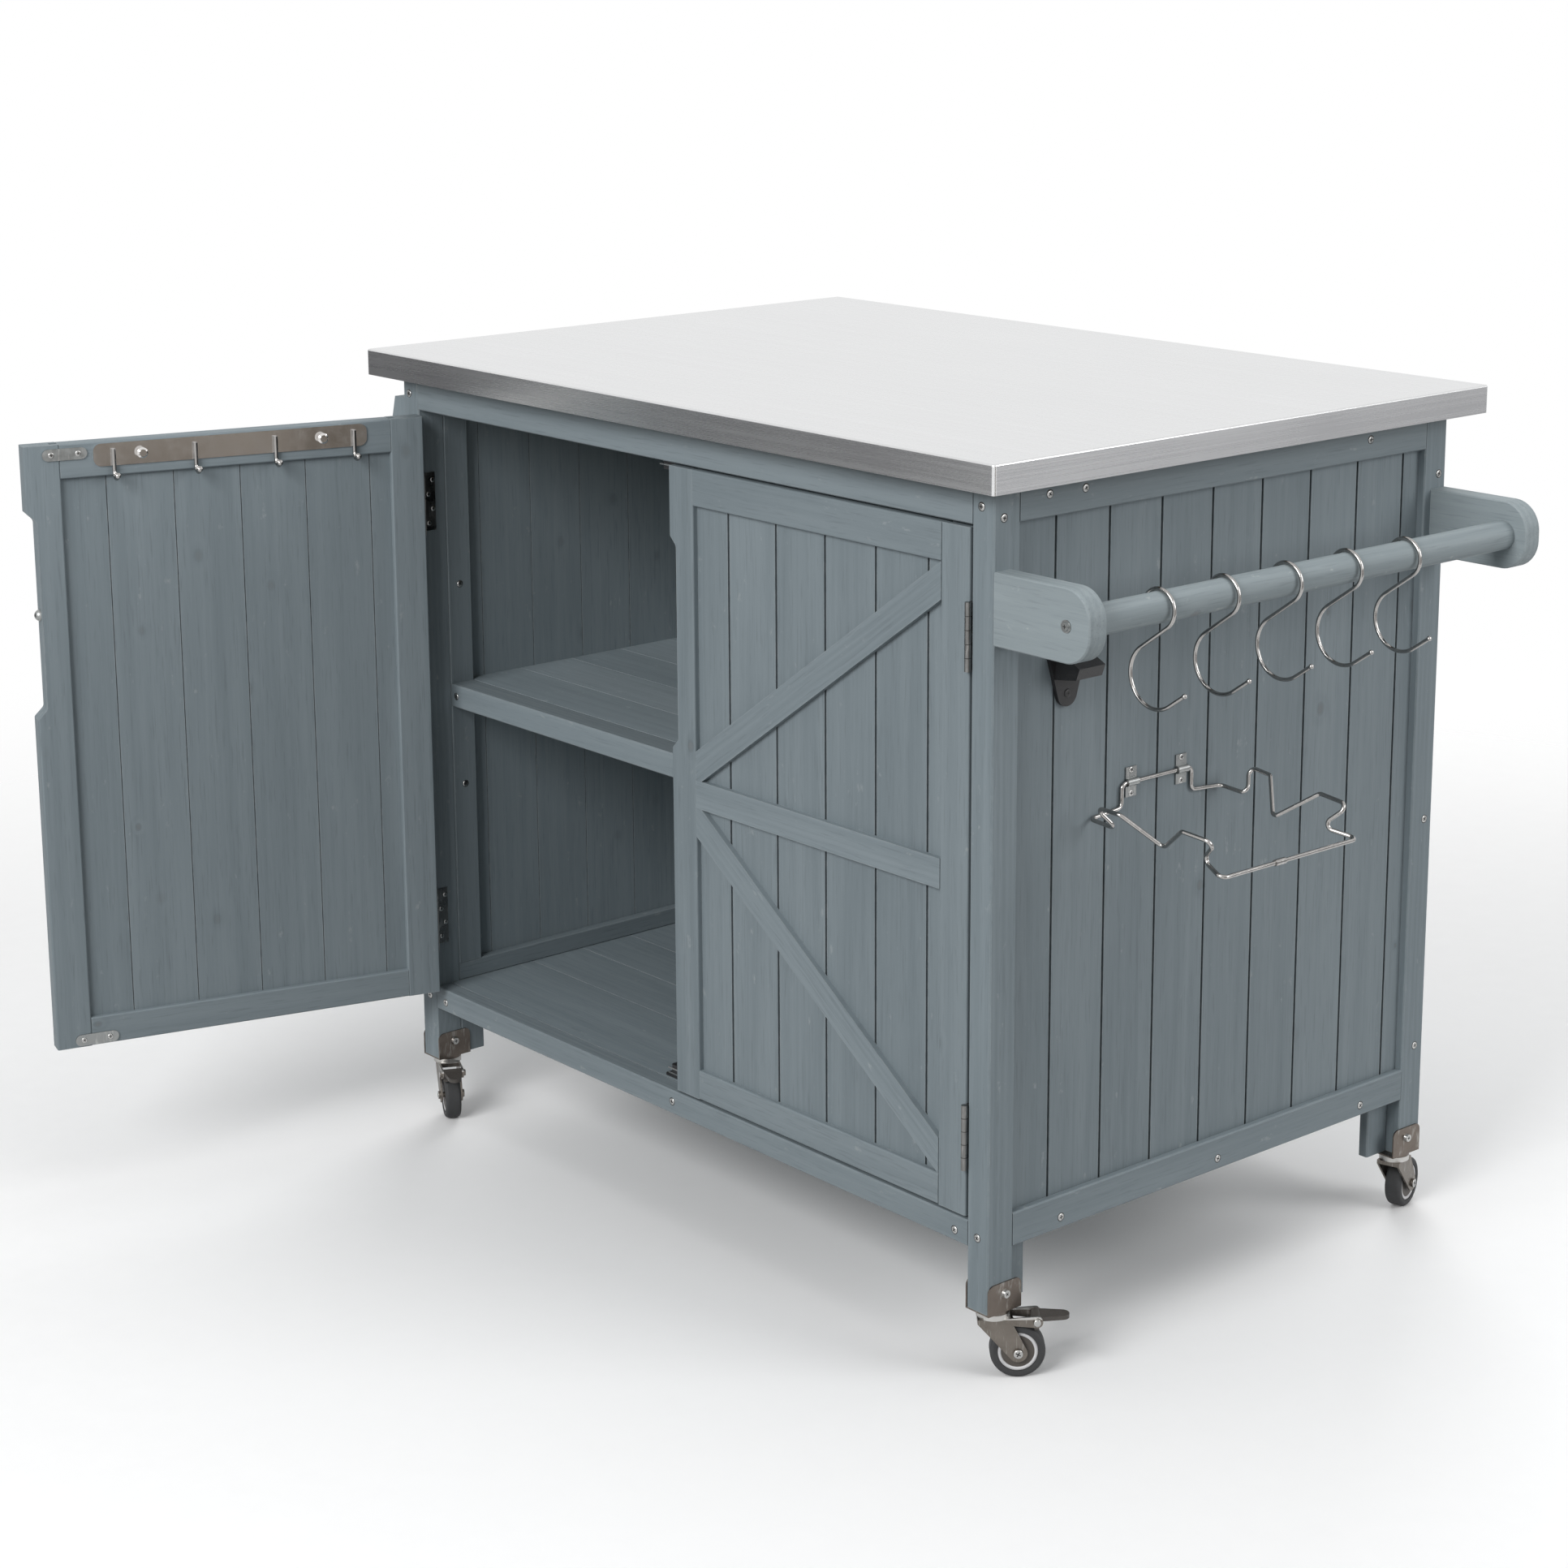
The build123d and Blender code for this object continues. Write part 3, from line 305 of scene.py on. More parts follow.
def stained_grain():
    """Grey stain over softwood: faint streaks and growth rings, fine pores, small knots and pale scuffs."""
    tree, bench, entry, result = new_group(
        "stained grain",
        (
            ("Across", "NodeSocketFloat"),
            ("Depth", "NodeSocketFloat"),
            ("Along", "NodeSocketFloat"),
            ("Board", "NodeSocketVector"),
        ),
        (("Color", "NodeSocketColor"), ("Roughness", "NodeSocketFloat"), ("Height", "NodeSocketFloat")),
    )
    chance = bench.add("ShaderNodeTexWhiteNoise", noise_dimensions="3D")
    bench.put(chance.inputs["Vector"], entry["Board"])
    first, second, third = bench.separate(chance.outputs["Color"])
    along = bench.math("ADD", entry["Along"], bench.math("MULTIPLY", first, 7.0))
    across = bench.math("ADD", entry["Across"], bench.math("MULTIPLY", second, 3.0))
    depth = bench.math("ADD", entry["Depth"], bench.math("MULTIPLY", third, 3.0))
    spot = bench.combine(across, depth, along)

    streak = bench.noise(bench.vector("MULTIPLY", spot, streak_stretch), 1.0, 5.0, 0.66)
    pores = bench.noise(bench.vector("MULTIPLY", spot, pore_stretch), 1.0, 2.0, 0.6)
    cloud = bench.noise(bench.vector("MULTIPLY", spot, cloud_stretch), 1.0, 3.0, 0.55)
    rub = bench.noise(bench.vector("MULTIPLY", spot, rub_stretch), 1.0, 5.0, 0.68)

    cells = bench.add("ShaderNodeTexVoronoi", voronoi_dimensions="2D")
    spread = bench.vector("MULTIPLY", bench.combine(across, along, 0.0), knot_stretch)
    bench.put(cells.inputs["Vector"], spread)
    bench.put(cells.inputs["Scale"], 1.0)
    bench.put(cells.inputs["Randomness"], 0.95)
    chosen, breadth, _ = bench.separate(cells.outputs["Color"])
    reach = bench.math("ADD", bench.math("MULTIPLY", breadth, 0.024), 0.012)
    away = bench.math("DIVIDE", cells.outputs["Distance"], reach)
    away = bench.math("ADD", away, bench.math("MULTIPLY", bench.math("SUBTRACT", rub, 0.5), 0.7))
    kept = bench.span(chosen, 0.60, 0.90)
    core = bench.math("MULTIPLY", bench.span(away, 1.0, 0.55), kept)
    rim = bench.math("MULTIPLY", bench.span(away, 1.6, 1.0), kept)
    halo = bench.math("MULTIPLY", bench.span(away, 4.5, 0.8), kept)

    heart = bench.math("MULTIPLY", bench.math("SUBTRACT", second, 0.5), 0.06)
    sunk = bench.math("ADD", bench.math("MULTIPLY", third, 0.05), 0.012)
    bend = bench.math("MULTIPLY", halo, 0.005)
    ring_place = bench.combine(
        bench.math("SUBTRACT", entry["Across"], heart),
        bench.math("ADD", bench.math("ADD", entry["Depth"], sunk), bend),
        bench.math("MULTIPLY", along, 0.10),
    )
    rings = bench.add("ShaderNodeTexWave", wave_type="RINGS", rings_direction="Z")
    bench.put(rings.inputs["Vector"], ring_place)
    bench.put(rings.inputs["Scale"], 48.0)
    bench.put(rings.inputs["Distortion"], 7.0)
    bench.put(rings.inputs["Detail"], 2.5)
    bench.put(rings.inputs["Detail Scale"], 0.4)
    ring = rings.outputs[1]

    tone = bench.math("ADD", bench.math("MULTIPLY", streak, 0.55), bench.math("MULTIPLY", cloud, 0.34))
    tone = bench.math("ADD", tone, bench.math("MULTIPLY", ring, -0.13))
    tone = bench.math("ADD", tone, bench.math("MULTIPLY", first, 0.22))
    tone = bench.span(tone, 0.07, 0.87)
    colour = bench.blend(tone, stain_dark, stain_light)
    colour = bench.blend(bench.span(pores, 0.54, 0.72, 0.0, 0.36), colour, pore_dark)
    colour = bench.blend(bench.span(rub, 0.63, 0.74, 0.0, 0.50), colour, scuff_pale)
    colour = bench.blend(bench.math("MULTIPLY", halo, 0.05), colour, knot_halo)
    colour = bench.blend(bench.math("MULTIPLY", rim, 0.26), colour, knot_rim)
    colour = bench.blend(bench.math("MULTIPLY", core, 0.60), colour, knot_core)
    bench.put(result["Color"], colour)
    bench.put(result["Roughness"], bench.span(streak, 0.2, 0.8, 0.70, 0.54))
    height = bench.math("ADD", bench.math("MULTIPLY", pores, -0.6), bench.math("MULTIPLY", ring, 0.2))
    height = bench.math("ADD", height, bench.math("MULTIPLY", streak, 0.4))
    bench.put(result["Height"], bench.math("SUBTRACT", height, bench.math("MULTIPLY", rim, 0.5)))
    return tree


def edge_highlights():
    """Painted highlight on the arrises: a mask of how far a rounded edge turns from the flat face, broken up
    by noise.
    """
    tree, bench, entry, result = new_group(
        "edge highlights", (("Vector", "NodeSocketVector"),), (("Edge", "NodeSocketFloat"),)
    )
    rounded = bench.add("ShaderNodeBevel", samples=4)
    rounded.inputs["Radius"].default_value = arris_radius * mm
    flat = bench.add("ShaderNodeNewGeometry").outputs["True Normal"]
    turn = bench.span(bench.vector("DOT_PRODUCT", rounded.outputs["Normal"], flat), 0.985, 0.86)
    unevenness = bench.span(bench.noise(entry["Vector"], 75.0, 4.0, 0.65), 0.36, 0.62, 0.25, 1.0)
    bench.put(result["Edge"], bench.math("MULTIPLY", turn, unevenness))
    return tree


def brushed_lines():
    """Fine lines of a brushed sheet, drawn out along one direction, with soft clouding."""
    tree, bench, entry, result = new_group(
        "brushed lines",
        (("Vector", "NodeSocketVector"),),
        (("Lines", "NodeSocketFloat"), ("Cloud", "NodeSocketFloat")),
    )
    fine = bench.noise(bench.vector("MULTIPLY", entry["Vector"], (3.0, 900.0, 900.0)), 1.0, 4.0, 0.7)
    broad = bench.noise(bench.vector("MULTIPLY", entry["Vector"], (1.2, 120.0, 120.0)), 1.0, 3.0, 0.6)
    lines = bench.math("ADD", bench.math("MULTIPLY", fine, 0.6), bench.math("MULTIPLY", broad, 0.4))
    bench.put(result["Lines"], lines)
    bench.put(result["Cloud"], bench.noise(entry["Vector"], 7.0, 3.0, 0.5))
    return tree


def handled_metal():
    """Small cast and plated pieces: dull clouds, fine scratches and specks."""
    tree, bench, entry, result = new_group(
        "handled metal",
        (("Vector", "NodeSocketVector"),),
        (("Cloud", "NodeSocketFloat"), ("Scratch", "NodeSocketFloat"), ("Speck", "NodeSocketFloat")),
    )
    bench.put(result["Cloud"], bench.noise(entry["Vector"], 60.0, 4.0, 0.6))
    slanted = bench.vector("MULTIPLY", entry["Vector"], (900.0, 240.0, 70.0))
    bench.put(result["Scratch"], bench.span(bench.noise(slanted, 1.0, 2.0, 0.5), 0.55, 0.75))
    bench.put(result["Speck"], bench.span(bench.noise(entry["Vector"], 700.0, 2.0, 0.6), 0.58, 0.72))
    return tree


grain_group = stained_grain()
edge_highlight_group = edge_highlights()
brushed_group = brushed_lines()
handled_group = handled_metal()


# Materials

def finish_wood(bench, shader, place, grain, shade, groove_shade=None, warmth=0.0):
    """Lightens and warms a piece, paints shade into the bottoms of its grooves and paints a highlight along
    its arrises.
    """
    tint = (shade * (1 + warmth), shade, shade * (1 - warmth), 1)
    colour = bench.blend(1.0, grain["Color"], tint, "MULTIPLY")
    # Painted shade in the bottoms of the grooves
    if groove_shade is not None:
        colour = bench.blend(bench.math("MULTIPLY", groove_shade, 0.52), colour, groove_shade_colour)
    # Painted highlight along the rounded arrises
    edge = bench.group(edge_highlight_group, Vector=place)["Edge"]
    colour = bench.blend(bench.math("MULTIPLY", edge, 0.55), colour, arris_highlight)
    bench.put(shader.inputs["Base Color"], colour)
    bench.put(shader.inputs["Roughness"], grain["Roughness"])
    raise_surface(bench, shader, grain["Height"], 0.28, 0.0004)


def stained_wood(
    name, along, across, depth, start, pitch,
    split=(0, 0, 0), split_start=half_start, split_pitch=half_pitch,
    shade=1.0, faces=None, warmth=0.0,
):
    """Boards side by side across a run, parted again by a split, with painted shade in the grooves between
    two faces.

    The length of the name is part of each board's draw, so that materials differ.
    """
    material, bench, shader, place = new_material(name, roughness=0.6, Specular_IOR_Level=0.35)
    run = bench.math("SUBTRACT", bench.vector("DOT_PRODUCT", place, across), start)
    row = bench.math("FLOOR", bench.math("DIVIDE", run, pitch))
    local = bench.math("SUBTRACT", run, bench.math("MULTIPLY", bench.math("ADD", row, 0.5), pitch))
    side = bench.math("SUBTRACT", bench.vector("DOT_PRODUCT", place, split), split_start)
    side = bench.math("FLOOR", bench.math("DIVIDE", side, split_pitch))
    inset = bench.vector("DOT_PRODUCT", place, depth)
    grain = bench.group(
        grain_group,
        Across=local,
        Depth=inset,
        Along=bench.vector("DOT_PRODUCT", place, along),
        Board=bench.combine(row, side, float(len(name))),
    )
    # Painted shade mask: one in the grooves between the two faces, nought on the faces themselves
    groove_shade = None
    if faces:
        near, far = faces
        skin = groove_skin * mm
        past_near = bench.span(inset, near + skin, near + 2 * skin)
        past_far = bench.span(inset, far - skin, far - 2 * skin)
        groove_shade = bench.math("MULTIPLY", past_near, past_far)
    finish_wood(bench, shader, place, grain, shade, groove_shade, warmth)
    return material


def brace_wood(name, along, corner):
    """Mid rail with its grain level, and diagonals with their grain along the slope."""
    material, bench, shader, place = new_material(name, roughness=0.6, Specular_IOR_Level=0.35)
    out = bench.math("SUBTRACT", bench.vector("DOT_PRODUCT", place, along), corner.dot(along))
    rise = bench.math("SUBTRACT", bench.separate(place)[2], field_middle * mm)
    side = bench.math("SIGN", rise)
    diagonal = bench.math("GREATER_THAN", bench.math("ABSOLUTE", rise), mid_rail_half * mm)
    slope = bench.math("MULTIPLY", bench.math("MULTIPLY", side, diagonal), -brace_slope)
    cosine = bench.math("COSINE", slope)
    sine = bench.math("SINE", slope)
    lengthwise = bench.math("ADD", bench.math("MULTIPLY", out, cosine), bench.math("MULTIPLY", rise, sine))
    sideways = bench.math("SUBTRACT", bench.math("MULTIPLY", rise, cosine), bench.math("MULTIPLY", out, sine))
    grain = bench.group(
        grain_group,
        Across=sideways,
        Depth=brace_inset * mm,
        Along=lengthwise,
        Board=bench.combine(side, diagonal, float(len(name))),
    )
    finish_wood(bench, shader, place, grain, brace_shade)
    return material


def worktop_steel():
    """Sheet brushed along each face: lengthwise on top and front, and along the depth on the ends."""
    material, bench, shader, place = new_material("brushed worktop steel", metallic=1.0, roughness=0.3)
    facing = bench.separate(bench.add("ShaderNodeNewGeometry").outputs["True Normal"])[0]
    end_face = bench.math("GREATER_THAN", bench.math("ABSOLUTE", facing), 0.7)
    x, y, z = bench.separate(place)
    swapped = bench.add("ShaderNodeMix", data_type="VECTOR")
    bench.put(swapped.inputs[0], end_face)
    bench.put(swapped.inputs[4], place)
    bench.put(swapped.inputs[5], bench.combine(y, x, z))
    brushed = bench.group(brushed_group, Vector=swapped.outputs[1])
    line = bench.span(brushed["Lines"], 0.3, 0.7)
    colour = bench.blend(line, (0.675, 0.68, 0.685, 1), (0.73, 0.735, 0.74, 1))
    bench.put(shader.inputs["Base Color"], colour)
    rough = bench.span(brushed["Lines"], 0.3, 0.7, 0.22, 0.27)
    rough = bench.math("ADD", rough, bench.math("MULTIPLY", brushed["Cloud"], 0.06))
    bench.put(shader.inputs["Roughness"], rough)
    raise_surface(bench, shader, brushed["Lines"], 0.012, 0.0002)
    return material


def plated(name, dark, light, rough_low, rough_high, band=None):
    """Plated steel; a band is two heights between which the metal has a colour of its own."""
    material, bench, shader, place = new_material(name, metallic=1.0, roughness=0.35)
    unevenness = bench.group(handled_group, Vector=place)
    colour = bench.blend(unevenness["Cloud"], dark, light)
    colour = bench.blend(bench.math("MULTIPLY", unevenness["Scratch"], 0.35), colour, (0.6, 0.6, 0.58, 1))
    if band:
        low, high, tint = band
        height = bench.separate(place)[2]
        above = bench.math("GREATER_THAN", height, (low + band_lift) * mm)
        below = bench.math("LESS_THAN", height, (high + band_lift) * mm)
        colour = bench.blend(bench.math("MULTIPLY", above, below), colour, tint)
    bench.put(shader.inputs["Base Color"], colour)
    bench.put(shader.inputs["Roughness"], bench.span(unevenness["Cloud"], 0.3, 0.7, rough_low, rough_high))
    raise_surface(bench, shader, unevenness["Speck"], 0.06, 0.0002)
    return material


def moulded(name, dark, light, rough_low, rough_high, pebble, strength):
    """Plastic, rubber and cast skins: a pebbled face, clouded from dark to light."""
    material, bench, shader, place = new_material(name, roughness=0.6)
    unevenness = bench.group(handled_group, Vector=place)
    skin = bench.noise(place, pebble, 3.0, 0.6)
    colour = bench.blend(bench.math("MULTIPLY", unevenness["Cloud"], skin), dark, light)
    bench.put(shader.inputs["Base Color"], colour)
    bench.put(shader.inputs["Roughness"], bench.span(skin, 0.3, 0.7, rough_low, rough_high))
    raise_surface(bench, shader, skin, strength, 0.0004)
    return material


def board_core():
    """Pressed board under the worktop sheet: flakes and dust."""
    material, bench, shader, place = new_material("pressed board", roughness=0.85)
    flakes = bench.add("ShaderNodeTexVoronoi")
    bench.put(flakes.inputs["Vector"], place)
    bench.put(flakes.inputs["Scale"], 320.0)
    shade = bench.separate(flakes.outputs["Color"])[0]
    colour = bench.blend(shade, (0.17, 0.125, 0.08, 1), (0.34, 0.27, 0.19, 1))
    bench.put(shader.inputs["Base Color"], colour)
    raise_surface(bench, shader, shade, 0.3, 0.0004)
    return material


class Leaf:
    """A door's own directions: along from the hinge edge, inward from the front face."""

    def __init__(self, hinge_x, along, inward):
        self.along = along
        self.inward = inward
        hinge = Vector((hinge_x, hinge_axis[1], 0)) * mm
        self.corner = hinge + along * hinge_half_gap * mm + inward * hinge_axis_proud * mm

    def at(self, out, height, depth):
        return self.corner + self.along * out * mm + self.inward * depth * mm + up * height * mm


left_leaf = Leaf(
    -hinge_axis[0],
    Vector((math.cos(door_open), -math.sin(door_open), 0)),
    Vector((math.sin(door_open), math.cos(door_open), 0)),
)
right_leaf = Leaf(hinge_axis[0], Vector((-1, 0, 0)), y_way)
leaves = {"left": left_leaf, "right": right_leaf}


def faces_of(node, way):
    """A node's two depths along one direction."""
    low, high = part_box(node)
    return low.dot(way), high.dot(way)


wood = {
    "corner_posts": stained_wood("post wood", up, x_way, y_way, half_start, half_pitch, y_way, shade=1.08),
    "side_stiles": stained_wood("stile wood", up, y_way, x_way, half_start, half_pitch, x_way),
    "front_top_rail": stained_wood("top rail wood", x_way, up, y_way, 0.75, 0.1),
    "front_bottom_rail": stained_wood("bottom rail wood", x_way, up, y_way, 0.10, 0.1),
    "back_rails": stained_wood("back rail wood", x_way, up, y_way, 0.0, 0.25),
    "side_rails": stained_wood("side rail wood", y_way, up, x_way, 0.0, 0.25, x_way, shade=1.05),
    "shelf_edge": stained_wood("shelf edge wood", x_way, up, y_way, 0.4, 0.1, shade=1.05),
    "board_battens": stained_wood("batten wood", x_way, y_way, up, -0.6, 0.3, up, 0.0, 0.2),
    "towel_bar_brackets": stained_wood(
        "bracket wood", x_way, up, y_way, 0.65, 0.13, y_way, shade=1.38, warmth=0.03
    ),
    "towel_bar": stained_wood("round bar wood", y_way, up, x_way, 0.65, 0.13, shade=1.35, warmth=0.03),
    "rack_ends": stained_wood("rack end wood", up, x_way, y_way, -0.6, 0.3, y_way, shade=1.2),
    "rack_boards": stained_wood("rack board wood", y_way, up, x_way, 0.5, 0.13, shade=1.1),
}
boarded = {
    "left_side_planks": ("left wall planks", up, y_way, x_way, side_board_start, side_board_pitch),
    "right_side_planks": ("right-hand wall planks", up, y_way, x_way, side_board_start, side_board_pitch),
    "back_planks": ("back wall planks", up, x_way, y_way, back_board_start, back_board_pitch),
    "floor_boards": ("floor boards", x_way, y_way, up, deck_start, deck_pitch),
    "shelf_boards": ("inner shelf boards", x_way, y_way, up, deck_start, deck_pitch),
}
# Painted light: the shelf, the cabinet floor and the left wall (both its faces) are made lighter to stand in
# for light the lamps do not bring inside
inside_boards_painted_lighter = {"floor_boards": 1.15, "shelf_boards": 1.5, "left_side_planks": 1.2}
for node, (title, along, across, depth, start, pitch) in boarded.items():
    wood[node] = stained_wood(
        title,
        along,
        across,
        depth,
        start * mm,
        pitch * mm,
        shade=inside_boards_painted_lighter.get(node, 1.0),
        faces=faces_of(node, depth),
    )
plank_near, plank_far = (value - right_leaf.corner.y for value in faces_of("right_door_planks", y_way))
for side, leaf in leaves.items():
    edge = leaf.corner.dot(leaf.along)
    front = leaf.corner.dot(leaf.inward)
    wood[f"{side}_door_stiles"] = stained_wood(
        f"{side} door stile wood", up, leaf.along, leaf.inward, edge, door_width / 2 * mm
    )
    wood[f"{side}_door_rails"] = stained_wood(
        f"{side} door rail wood", leaf.along, up, leaf.inward, 0.1, 0.25
    )
    wood[f"{side}_door_planks"] = stained_wood(
        f"{side} door planks",
        up,
        leaf.along,
        leaf.inward,
        edge + door_board_start * mm,
        door_board_pitch * mm,
        faces=(front + plank_near, front + plank_far),
    )
    wood[f"{side}_door_braces"] = brace_wood(f"{side} door brace wood", leaf.along, leaf.corner)

bright_zinc = plated("bright zinc", (0.40, 0.40, 0.395, 1), (0.58, 0.58, 0.565, 1), 0.20, 0.38)
plate_zinc = plated("plate zinc", (0.24, 0.25, 0.25, 1), (0.37, 0.38, 0.375, 1), 0.26, 0.44)
hinge_steel = plated("hinge steel", (0.13, 0.13, 0.128, 1), (0.25, 0.25, 0.245, 1), 0.24, 0.40)
race_band = (fork_crown_top, fork_race_top, (0.55, 0.54, 0.52, 1))
caster_steel = plated(
    "caster steel", (0.13, 0.116, 0.10, 1), (0.25, 0.225, 0.20, 1), 0.26, 0.44, band=race_band
)
foot_steel = plated("foot plate steel", (0.12, 0.10, 0.086, 1), (0.22, 0.19, 0.166, 1), 0.28, 0.46)
wire_chrome = plated("wire chrome", (0.30, 0.29, 0.28, 1), (0.46, 0.45, 0.44, 1), 0.08, 0.18)
rail_chrome = plated("hook rail chrome", (0.62, 0.60, 0.58, 1), (0.76, 0.745, 0.73, 1), 0.07, 0.16)
tyre_rubber = moulded(
    "grey tyre", (0.028, 0.029, 0.030, 1), (0.075, 0.077, 0.08, 1), 0.62, 0.8, 900.0, 0.25
)
hub_plastic = moulded(
    "brown-grey hub", (0.070, 0.061, 0.053, 1), (0.15, 0.132, 0.116, 1), 0.45, 0.6, 700.0, 0.12
)
ring_plastic = moulded(
    "pale wheel ring", (0.66, 0.66, 0.67, 1), (0.86, 0.86, 0.87, 1), 0.42, 0.58, 700.0, 0.1
)
pedal_plastic = moulded(
    "brake pedal plastic", (0.045, 0.040, 0.036, 1), (0.12, 0.108, 0.096, 1), 0.42, 0.6, 650.0, 0.2
)
catch_plastic = moulded(
    "black catch plastic", (0.012, 0.012, 0.013, 1), (0.045, 0.045, 0.047, 1), 0.38, 0.55, 650.0, 0.15
)
opener_casting = moulded(
    "black casting", (0.010, 0.010, 0.011, 1), (0.04, 0.04, 0.042, 1), 0.34, 0.52, 480.0, 0.35
)
# Painted shade for screw recesses, the rings round drilled heads and the gaps between hinge knuckles
slot_shadow = moulded(
    "screw recess", (0.015, 0.015, 0.015, 1), (0.05, 0.05, 0.048, 1), 0.6, 0.8, 900.0, 0.1
)

node_materials = dict(wood)
node_materials.update(
    worktop_sheet=worktop_steel(),
    worktop_core=board_core(),
    hinge_post_leaves=hinge_steel,
    left_door_hinge_leaves=hinge_steel,
    right_door_hinge_leaves=hinge_steel,
    left_door_fittings=plate_zinc,
    right_door_fittings=plate_zinc,
    bar_screws=plate_zinc,
    ring_clips=plate_zinc,
    door_catches=catch_plastic,
    hook_rail_plate=rail_chrome,
    hook_rail_hooks=wire_chrome,
    bottle_opener=opener_casting,
    bag_ring=wire_chrome,
    caster_foot_plates=foot_steel,
    caster_bolts=bright_zinc,
)
for i in range(1, 6):
    node_materials[f"s_hook_{i}"] = wire_chrome
for caster in caster_yaws:
    node_materials[f"{caster}_fork"] = caster_steel
    node_materials[f"{caster}_tyre"] = tyre_rubber
    node_materials[f"{caster}_hub"] = hub_plastic
for caster in braked:
    node_materials[f"{caster}_brake_pedal"] = pedal_plastic

for name, thing in nodes.items():
    thing.data.materials.clear()
    thing.data.materials.append(node_materials[name])


# Small pieces

def at(x, y, z):
    return Vector((x, y, z)) * mm


def new_object(name, shape, material):
    mesh = bpy.data.meshes.new(name)
    shape.to_mesh(mesh)
    shape.free()
    mesh.materials.append(material)
    thing = bpy.data.objects.new(name, mesh)
    scene.collection.objects.link(thing)
    return thing


def new_piece(name, body, shape, material, smooth=True):
    """A piece that rides on a body, with the material it is given."""
    piece = new_object(name, shape, material)
    for face in piece.data.polygons:
        face.use_smooth = smooth
    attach(piece, body)


def seat_turn(point, normal, turn=0.0):
    """Takes local Z onto the normal and the origin onto the point."""
    stand = Vector(normal).to_track_quat("Z", "Y").to_matrix().to_4x4()
    return Matrix.Translation(Vector(point)) @ stand @ Matrix.Rotation(turn, 4, "Z")


def turned(shape, profile, place, steps):
    """Spins a profile of radius and height about local Z; the tags mark what already has its place."""
    points = [shape.verts.new((radius * mm, 0, height * mm)) for radius, height in profile]
    lines = [shape.edges.new(pair) for pair in zip(points, points[1:])]
    bmesh.ops.spin(
        shape,
        geom=points + lines,
        cent=(0, 0, 0),
        axis=(0, 0, 1),
        angle=math.tau,
        steps=steps,
        use_merge=True,
    )
    fresh = [point for point in shape.verts if not point.tag]
    bmesh.ops.transform(shape, matrix=place, verts=fresh)
    for point in fresh:
        point.tag = True


def close_up(shape):
    """Merges the poles and seams of spun shapes and turns their faces outwards."""
    bmesh.ops.remove_doubles(shape, verts=shape.verts[:], dist=merge_distance * mm)
    bmesh.ops.recalc_face_normals(shape, faces=shape.faces[:])


def cross_recesses(name, body, seats, radius, rise=0.0, drilled=False):
    """Painted shade: dark cross slots on heads that stand proud, and a dark line round those that are drilled
    in.
    """
    slots = bmesh.new()
    for i, (point, normal) in enumerate(seats):
        for turn in (0.0, math.pi / 2):
            bar = bmesh.ops.create_cube(slots, size=1.0)["verts"]
            length = radius * slot_length * mm
            width = radius * slot_width * mm
            size = Matrix.Diagonal((length, width, slot_thickness * mm, 1.0))
            place = seat_turn(point + normal * rise * mm, normal, i * slot_turn + turn)
            bmesh.ops.transform(slots, matrix=place @ size, verts=bar)
            for corner in bar:
                corner.tag = True
    if drilled:
        inner = radius - drill_inside
        outer = radius + drill_outside
        top = drill_thickness
        profile = ((inner, 0), (outer, 0), (outer, top), (inner, top), (inner, 0))
        for point, normal in seats:
            turned(slots, profile, seat_turn(point, normal), head_steps)
        close_up(slots)
    new_piece(f"{name}_recesses", body, slots, slot_shadow, smooth=False)


def screw_heads(name, body, seats, head, material=bright_zinc, crossed=True, drilled=False):
    """Low domed heads on their seats, with or without a cross recess in each."""
    radius, rise = head
    heads = bmesh.new()
    profile = (
        (0, 0),
        (radius, 0),
        (radius, rise * 0.45),
        (radius * 0.72, rise * 0.85),
        (radius * 0.37, rise),
        (0, rise),
    )
    for point, normal in seats:
        turned(heads, profile, seat_turn(point, normal), head_steps)
    close_up(heads)
    new_piece(name, body, heads, material)
    if crossed:
        cross_recesses(name, body, seats, radius, rise, drilled)


front_spots = (
    (432.2, 805.0), (434.0, 138.0), (-438.0, 804.0), (-434.0, 138.0),
    (-6.6, 139.0), (404.4, 136.5), (-404.4, 136.5),
)
side_spots = (
    (-291.5, 796.0), (-237.0, 810.0), (-193.0, 810.0), (189.5, 809.0), (0.0, 137.0),
    (209.0, 137.0), (-211.0, 137.0), (293.0, 764.0), (292.0, 417.0), (291.0, 180.0),
)
front_seats = [(at(x, front_face, z), ahead) for x, z in front_spots]
side_seats = [(at(way * side_face, y, z), x_way * way) for way in (-1, 1) for y, z in side_spots]
back_seats = [(at(way * back_screw_x, back_face, z), -ahead) for way in (-1, 1) for z in back_screw_heights]
screw_heads("wood_screws", "cabinet", front_seats + side_seats + back_seats, wood_head, drilled=True)

stile_seats = [
    (at(way * stile_face, end * stile_middle, z), x_way * -way)
    for way in (-1, 1) for end in (-1, 1) for z in stile_screw_heights
]
shelf_seats = [(at(way * shelf_screw[0], shelf_front, shelf_screw[1]), ahead) for way in (-1, 1)]
screw_heads("inner_screws", "cabinet", stile_seats + shelf_seats, inner_head, drilled=True)

# Hinge leaves: four screws in a zigzag on each
leaf_steps = ((-23.0, 11.5), (-8.0, 17.0), (8.0, 11.5), (23.0, 17.0))
post_seats = [
    (at(way * hinge_leaf_face, hinge_axis[1] + back, middle + rise), x_way * -way)
    for way in (-1, 1) for middle in hinge_middles for rise, back in leaf_steps
]
screw_heads("hinge_post_screws", "cabinet", post_seats, hinge_head)


